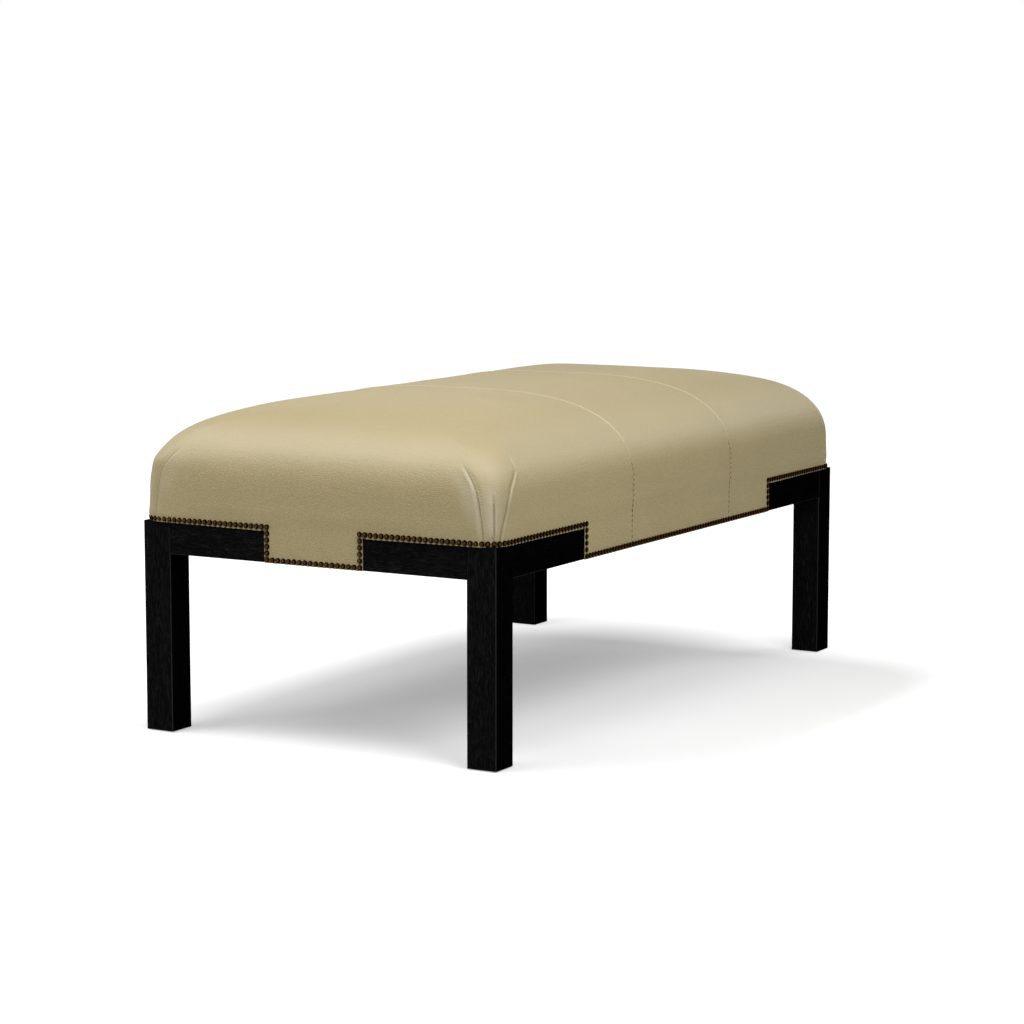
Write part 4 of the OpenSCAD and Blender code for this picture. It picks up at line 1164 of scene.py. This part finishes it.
class OTTOMAN_OT_webbing(bpy.types.Operator):
    """Weaves the webbing over the deck frame"""
    bl_idname = "ottoman.webbing"
    bl_label = "Webbing"

    def execute(self, context):
        d = context.scene.ottoman_deck
        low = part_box("webbing_lengthwise")[0][2]
        jute = woven_material("jute_webbing", "Woven jute: coarse tan yarns with dark gaps", "#6b5230", "#b99a68",
                              2.4 * MM, 0.0006, Roughness=0.9)
        inside = 2 * (d.board_t + d.web_margin)
        ys = strip_places(2 * HALF_W - inside, d.web_w, d.web_space)
        xs = strip_places(2 * HALF_L - inside, d.web_w, d.web_space)
        for name, places, crossings, half, turned in (("lengthwise", ys, xs, HALF_L, False),
                                                      ("crosswise", xs, ys, HALF_W, True)):
            points, faces = [], []
            for k, place in enumerate(places):
                path = woven_strip(d, half - d.web_margin, low, crossings, (k % 2 == 0) != turned)
                strip, strip_faces = ribbon(path, d.web_w, d.web_t)
                strip[:, 1] += place
                faces += [tuple(v + len(points) for v in f) for f in strip_faces]
                points += [(-p[1], p[0], p[2]) if turned else tuple(p) for p in strip]
            piece = mesh_object("webbing_straps_" + name, points, faces, outwards=True)
            finish_piece(piece, "webbing", jute, "webbing_" + name)
        return {"FINISHED"}


def cloth_sheet(name, xs, ys, height, kept, thickness, squeeze=None):
    """A thin sheet over a grid of places, with its height at each and a thickness below it."""
    grid = [[(x * (squeeze(y) if squeeze else 1), y, height(x, y)) for x in xs] for y in ys]
    n = len(xs)
    faces = [f for f in grid_faces(len(ys), n)
             if kept((xs[f[0] % n] + xs[f[1] % n]) / 2, (ys[f[0] // n] + ys[f[2] // n]) / 2)]
    piece = mesh_object(name, [p for row in grid for p in row], faces, drop_loose=True)
    wall = piece.modifiers.new("Cloth", "SOLIDIFY")
    wall.thickness, wall.offset = thickness, -1
    return applied(piece)


class OTTOMAN_OT_deck_cloths(bpy.types.Operator):
    """Lays the deck cloth over the webbing and stretches the dust cover under the frame"""
    bl_idname = "ottoman.deck_cloths"
    bl_label = "Deck cloth and dust cover"

    def execute(self, context):
        d = context.scene.ottoman_deck
        a, b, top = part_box("deck_cloth")[1]
        r = d.cloth_r
        burlap = woven_material("burlap", "Plain-woven burlap: open tan weave", "#7d6644", "#c3a674",
                                1.8 * MM, 0.0005, Roughness=0.92)
        corner = np.sin(np.linspace(0, math.pi / 2, 9)) * r
        ys = np.concatenate([-(b - r) - corner[::-1], np.linspace(-(b - r), b - r, 37)[1:-1], b - r + corner])

        def squeeze(y):
            over = max(0.0, abs(y) - (b - r))
            return (a - r + math.sqrt(max(0.0, r * r - over * over))) / a

        cloth = cloth_sheet("burlap_sheet", np.linspace(-a, a, 73), ys,
                            lambda x, y: top - 0.15 * MM * (1 + math.sin(x / (31 * MM)) * math.cos(y / (27 * MM))),
                            lambda x, y: True, d.cloth_t - 0.3 * MM, squeeze)
        finish_piece(cloth, "deck_cloth", burlap, "deck_cloth")
        a, b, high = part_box("dust_cover")[1]
        notch_x, notch_y = HALF_L - d.leg_room, HALF_W - d.leg_room
        xs = np.concatenate([[-a], np.linspace(-notch_x, notch_x, 73), [a]])
        ys = np.concatenate([[-b], np.linspace(-notch_y, notch_y, 37), [b]])

        def hang(x, y):
            inside = max(0.0, 1 - (x / (a - 18 * MM)) ** 2) * max(0.0, 1 - (y / (b - 18 * MM)) ** 2)
            pull = 0.4 * MM * inside * (1 + math.cos(x / (9.5 * MM))) * (1 + math.cos(y / (9.5 * MM))) / 4
            return high - d.cover_sag * inside ** 0.7 - pull

        cover = cloth_sheet("dust_sheet", xs, ys, hang, lambda x, y: abs(x) < notch_x or abs(y) < notch_y,
                            d.cover_t)
        black = speckled_material("spun_dust_cloth", "Spun-bonded polypropylene: matt black with a point-bonded "
                                  "dimple pattern", "#0d0d0e", "#1c1c1e", 500.0, 0.0003, Roughness=0.85)
        finish_piece(cover, "dust_cloth", black, "dust_cover")
        return {"FINISHED"}


# Width, height and place of each lamp, in metres
LAMPS = {"front": ((1.3, 1.1), (-1.1, -1.8, 2.1)), "over": ((1.5, 0.8), (-0.9, -0.5, 2.5)),
         "back": ((1.4, 1.1), (-1.35, 1.3, 2.4)), "left": ((1.3, 1.1), (-3.0, 1.2, 1.5)),
         "right": ((1.3, 1.1), (2.4, -2.0, 2.0))}
LAMP_AIM = (0.0, 0.0, 0.35)
# The camera solved from the photograph, in units of 324 mm
CAMERA_PLACE = np.array([-12.709, -7.297, 2.802]) * 0.324
CAMERA_YAW = 60.13
CAMERA_PITCH = 7.40
CAMERA_LENS = 36 * 2908.8 / 1024


class OTTOMAN_OT_stage(bpy.types.Operator):
    """Sets up the floor, the light and the camera"""
    bl_idname = "ottoman.stage"
    bl_label = "Floor, light and camera"

    def execute(self, context):
        sizes = context.scene.ottoman_stage
        camera = bpy.data.cameras.new("Camera")
        camera.lens, camera.sensor_width, camera.clip_end = CAMERA_LENS, 36.0, 100.0
        view = new_piece("Camera", camera)
        view.location = CAMERA_PLACE
        view.rotation_euler = (math.radians(90 - CAMERA_PITCH), 0.0, math.radians(-CAMERA_YAW))
        context.scene.camera = view
        half = sizes.floor / 2
        floor = mesh_object("floor", [(-half, -half, 0), (half, -half, 0), (half, half, 0), (-half, half, 0)],
                            [(0, 1, 2, 3)], smooth_faces=False)
        floor.data.materials.append(floor_material())
        self.sky(context, sizes.sky)
        for name, (size, place) in LAMPS.items():
            lamp(name, getattr(sizes, name), size, place)
        context.scene.view_settings.view_transform = "Standard"
        return {"FINISHED"}

    def sky(self, context, level):
        """White to the camera and in reflections, a plain even light to everything else."""
        world = bpy.data.worlds.new("studio")
        context.scene.world = world
        world.use_nodes = True
        world.node_tree.nodes.clear()
        node = partial(add, world.node_tree)
        even = node("Background", Color=(1, 1, 1, 1), Strength=level)
        white = node("Background", Color=(1, 1, 1, 1), Strength=1.0)
        mix = node("MixShader", seen_directly(node), even, white)
        node("OutputWorld", Surface=mix)


def lamp(name, energy, size, place):
    """A soft rectangular lamp that looks at the cushion."""
    light = bpy.data.lights.new(name, "AREA")
    light.shape, light.size, light.size_y, light.energy = "RECTANGLE", size[0], size[1], energy
    piece = new_piece(name, light)
    piece.location = place
    piece.rotation_euler = (Vector(LAMP_AIM) - Vector(place)).to_track_quat("-Z", "Y").to_euler()


def seen_directly(node):
    """1 for rays from the camera and for those that a gloss or glass sends on, 0 for the rest."""
    ray = node("LightPath")
    shiny = node("Math", ray.outputs["Is Camera Ray"], ray.outputs["Is Glossy Ray"], operation="MAXIMUM")
    return node("Math", shiny, ray.outputs["Is Transmission Ray"], operation="MAXIMUM").outputs[0]


def floor_material():
    """White floor, that keeps the object's shadow and fades into the white backdrop round it."""
    material = bpy.data.materials.new("white_floor")
    material.use_nodes = True
    material.node_tree.nodes.clear()
    node = partial(add, material.node_tree)
    plain = node("BsdfDiffuse", Color=(0.8, 0.8, 0.8, 1))
    # Painted light: the glow is lowest inside a rectangle with soft corners, a little wider than the object and set
    # to its left, so that the lamps' shadow shows there, and beyond it the glow paints the floor white over the
    # rest of the shadow
    square = 6.0
    at = node("TexCoord").outputs["Object"]
    place = node("VectorMath", at, (0.132, 0.15, 0.0), operation="ADD")
    share = node("VectorMath", place, (0.781, 0.56, 1.0), operation="DIVIDE")
    parts = node("SeparateXYZ", node("VectorMath", share, operation="ABSOLUTE"))
    powers = [node("Math", parts.outputs[i], square, operation="POWER") for i in (0, 1)]
    total = node("Math", powers[0], powers[1], operation="ADD")
    away = node("Math", total, 1 / square, operation="POWER")
    level = node("MapRange", Value=away, From_Min=0.76, From_Max=1.1, To_Min=0.36, To_Max=1.0)
    glow = node("Math", seen_directly(node), level, operation="MULTIPLY")
    light = node("Emission", Strength=glow)
    both = node("AddShader", plain, light)
    node("OutputMaterial", Surface=both)
    return material


OPERATORS = (OTTOMAN_OT_stage, OTTOMAN_OT_leather_cover, OTTOMAN_OT_hem, OTTOMAN_OT_nails, OTTOMAN_OT_stitches,
             OTTOMAN_OT_stuffing, OTTOMAN_OT_show_wood, OTTOMAN_OT_inner_frame, OTTOMAN_OT_webbing,
             OTTOMAN_OT_deck_cloths)
GROUPS = {"ottoman_cushion": CushionSizes, "ottoman_trim": TrimSizes, "ottoman_deck": DeckSizes,
          "ottoman_finishes": Finishes, "ottoman_stage": StageSizes}


class OTTOMAN_PT_panel(bpy.types.Panel):
    """Lists the pieces of the ottoman"""
    bl_label = "Ottoman"
    bl_idname = "OTTOMAN_PT_panel"
    bl_space_type = "VIEW_3D"
    bl_region_type = "UI"
    bl_category = "Ottoman"

    def draw(self, context):
        for name, group in GROUPS.items():
            box = self.layout.box()
            for key in group.__annotations__:
                box.prop(getattr(context.scene, name), key)
        for operator in OPERATORS:
            self.layout.operator(operator.bl_idname)


def register():
    for group in GROUPS.values():
        bpy.utils.register_class(group)
    for name, group in GROUPS.items():
        setattr(bpy.types.Scene, name, PointerProperty(type=group))
    for operator in OPERATORS:
        bpy.utils.register_class(operator)
    bpy.utils.register_class(OTTOMAN_PT_panel)


def unregister():
    bpy.utils.unregister_class(OTTOMAN_PT_panel)
    for operator in reversed(OPERATORS):
        bpy.utils.unregister_class(operator)
    for name, group in GROUPS.items():
        delattr(bpy.types.Scene, name)
        bpy.utils.unregister_class(group)


def main():
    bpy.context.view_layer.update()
    register()
    for operator in OPERATORS:
        group, name = operator.bl_idname.split(".")
        getattr(getattr(bpy.ops, group), name)()


if __name__ == "__main__":
    main()
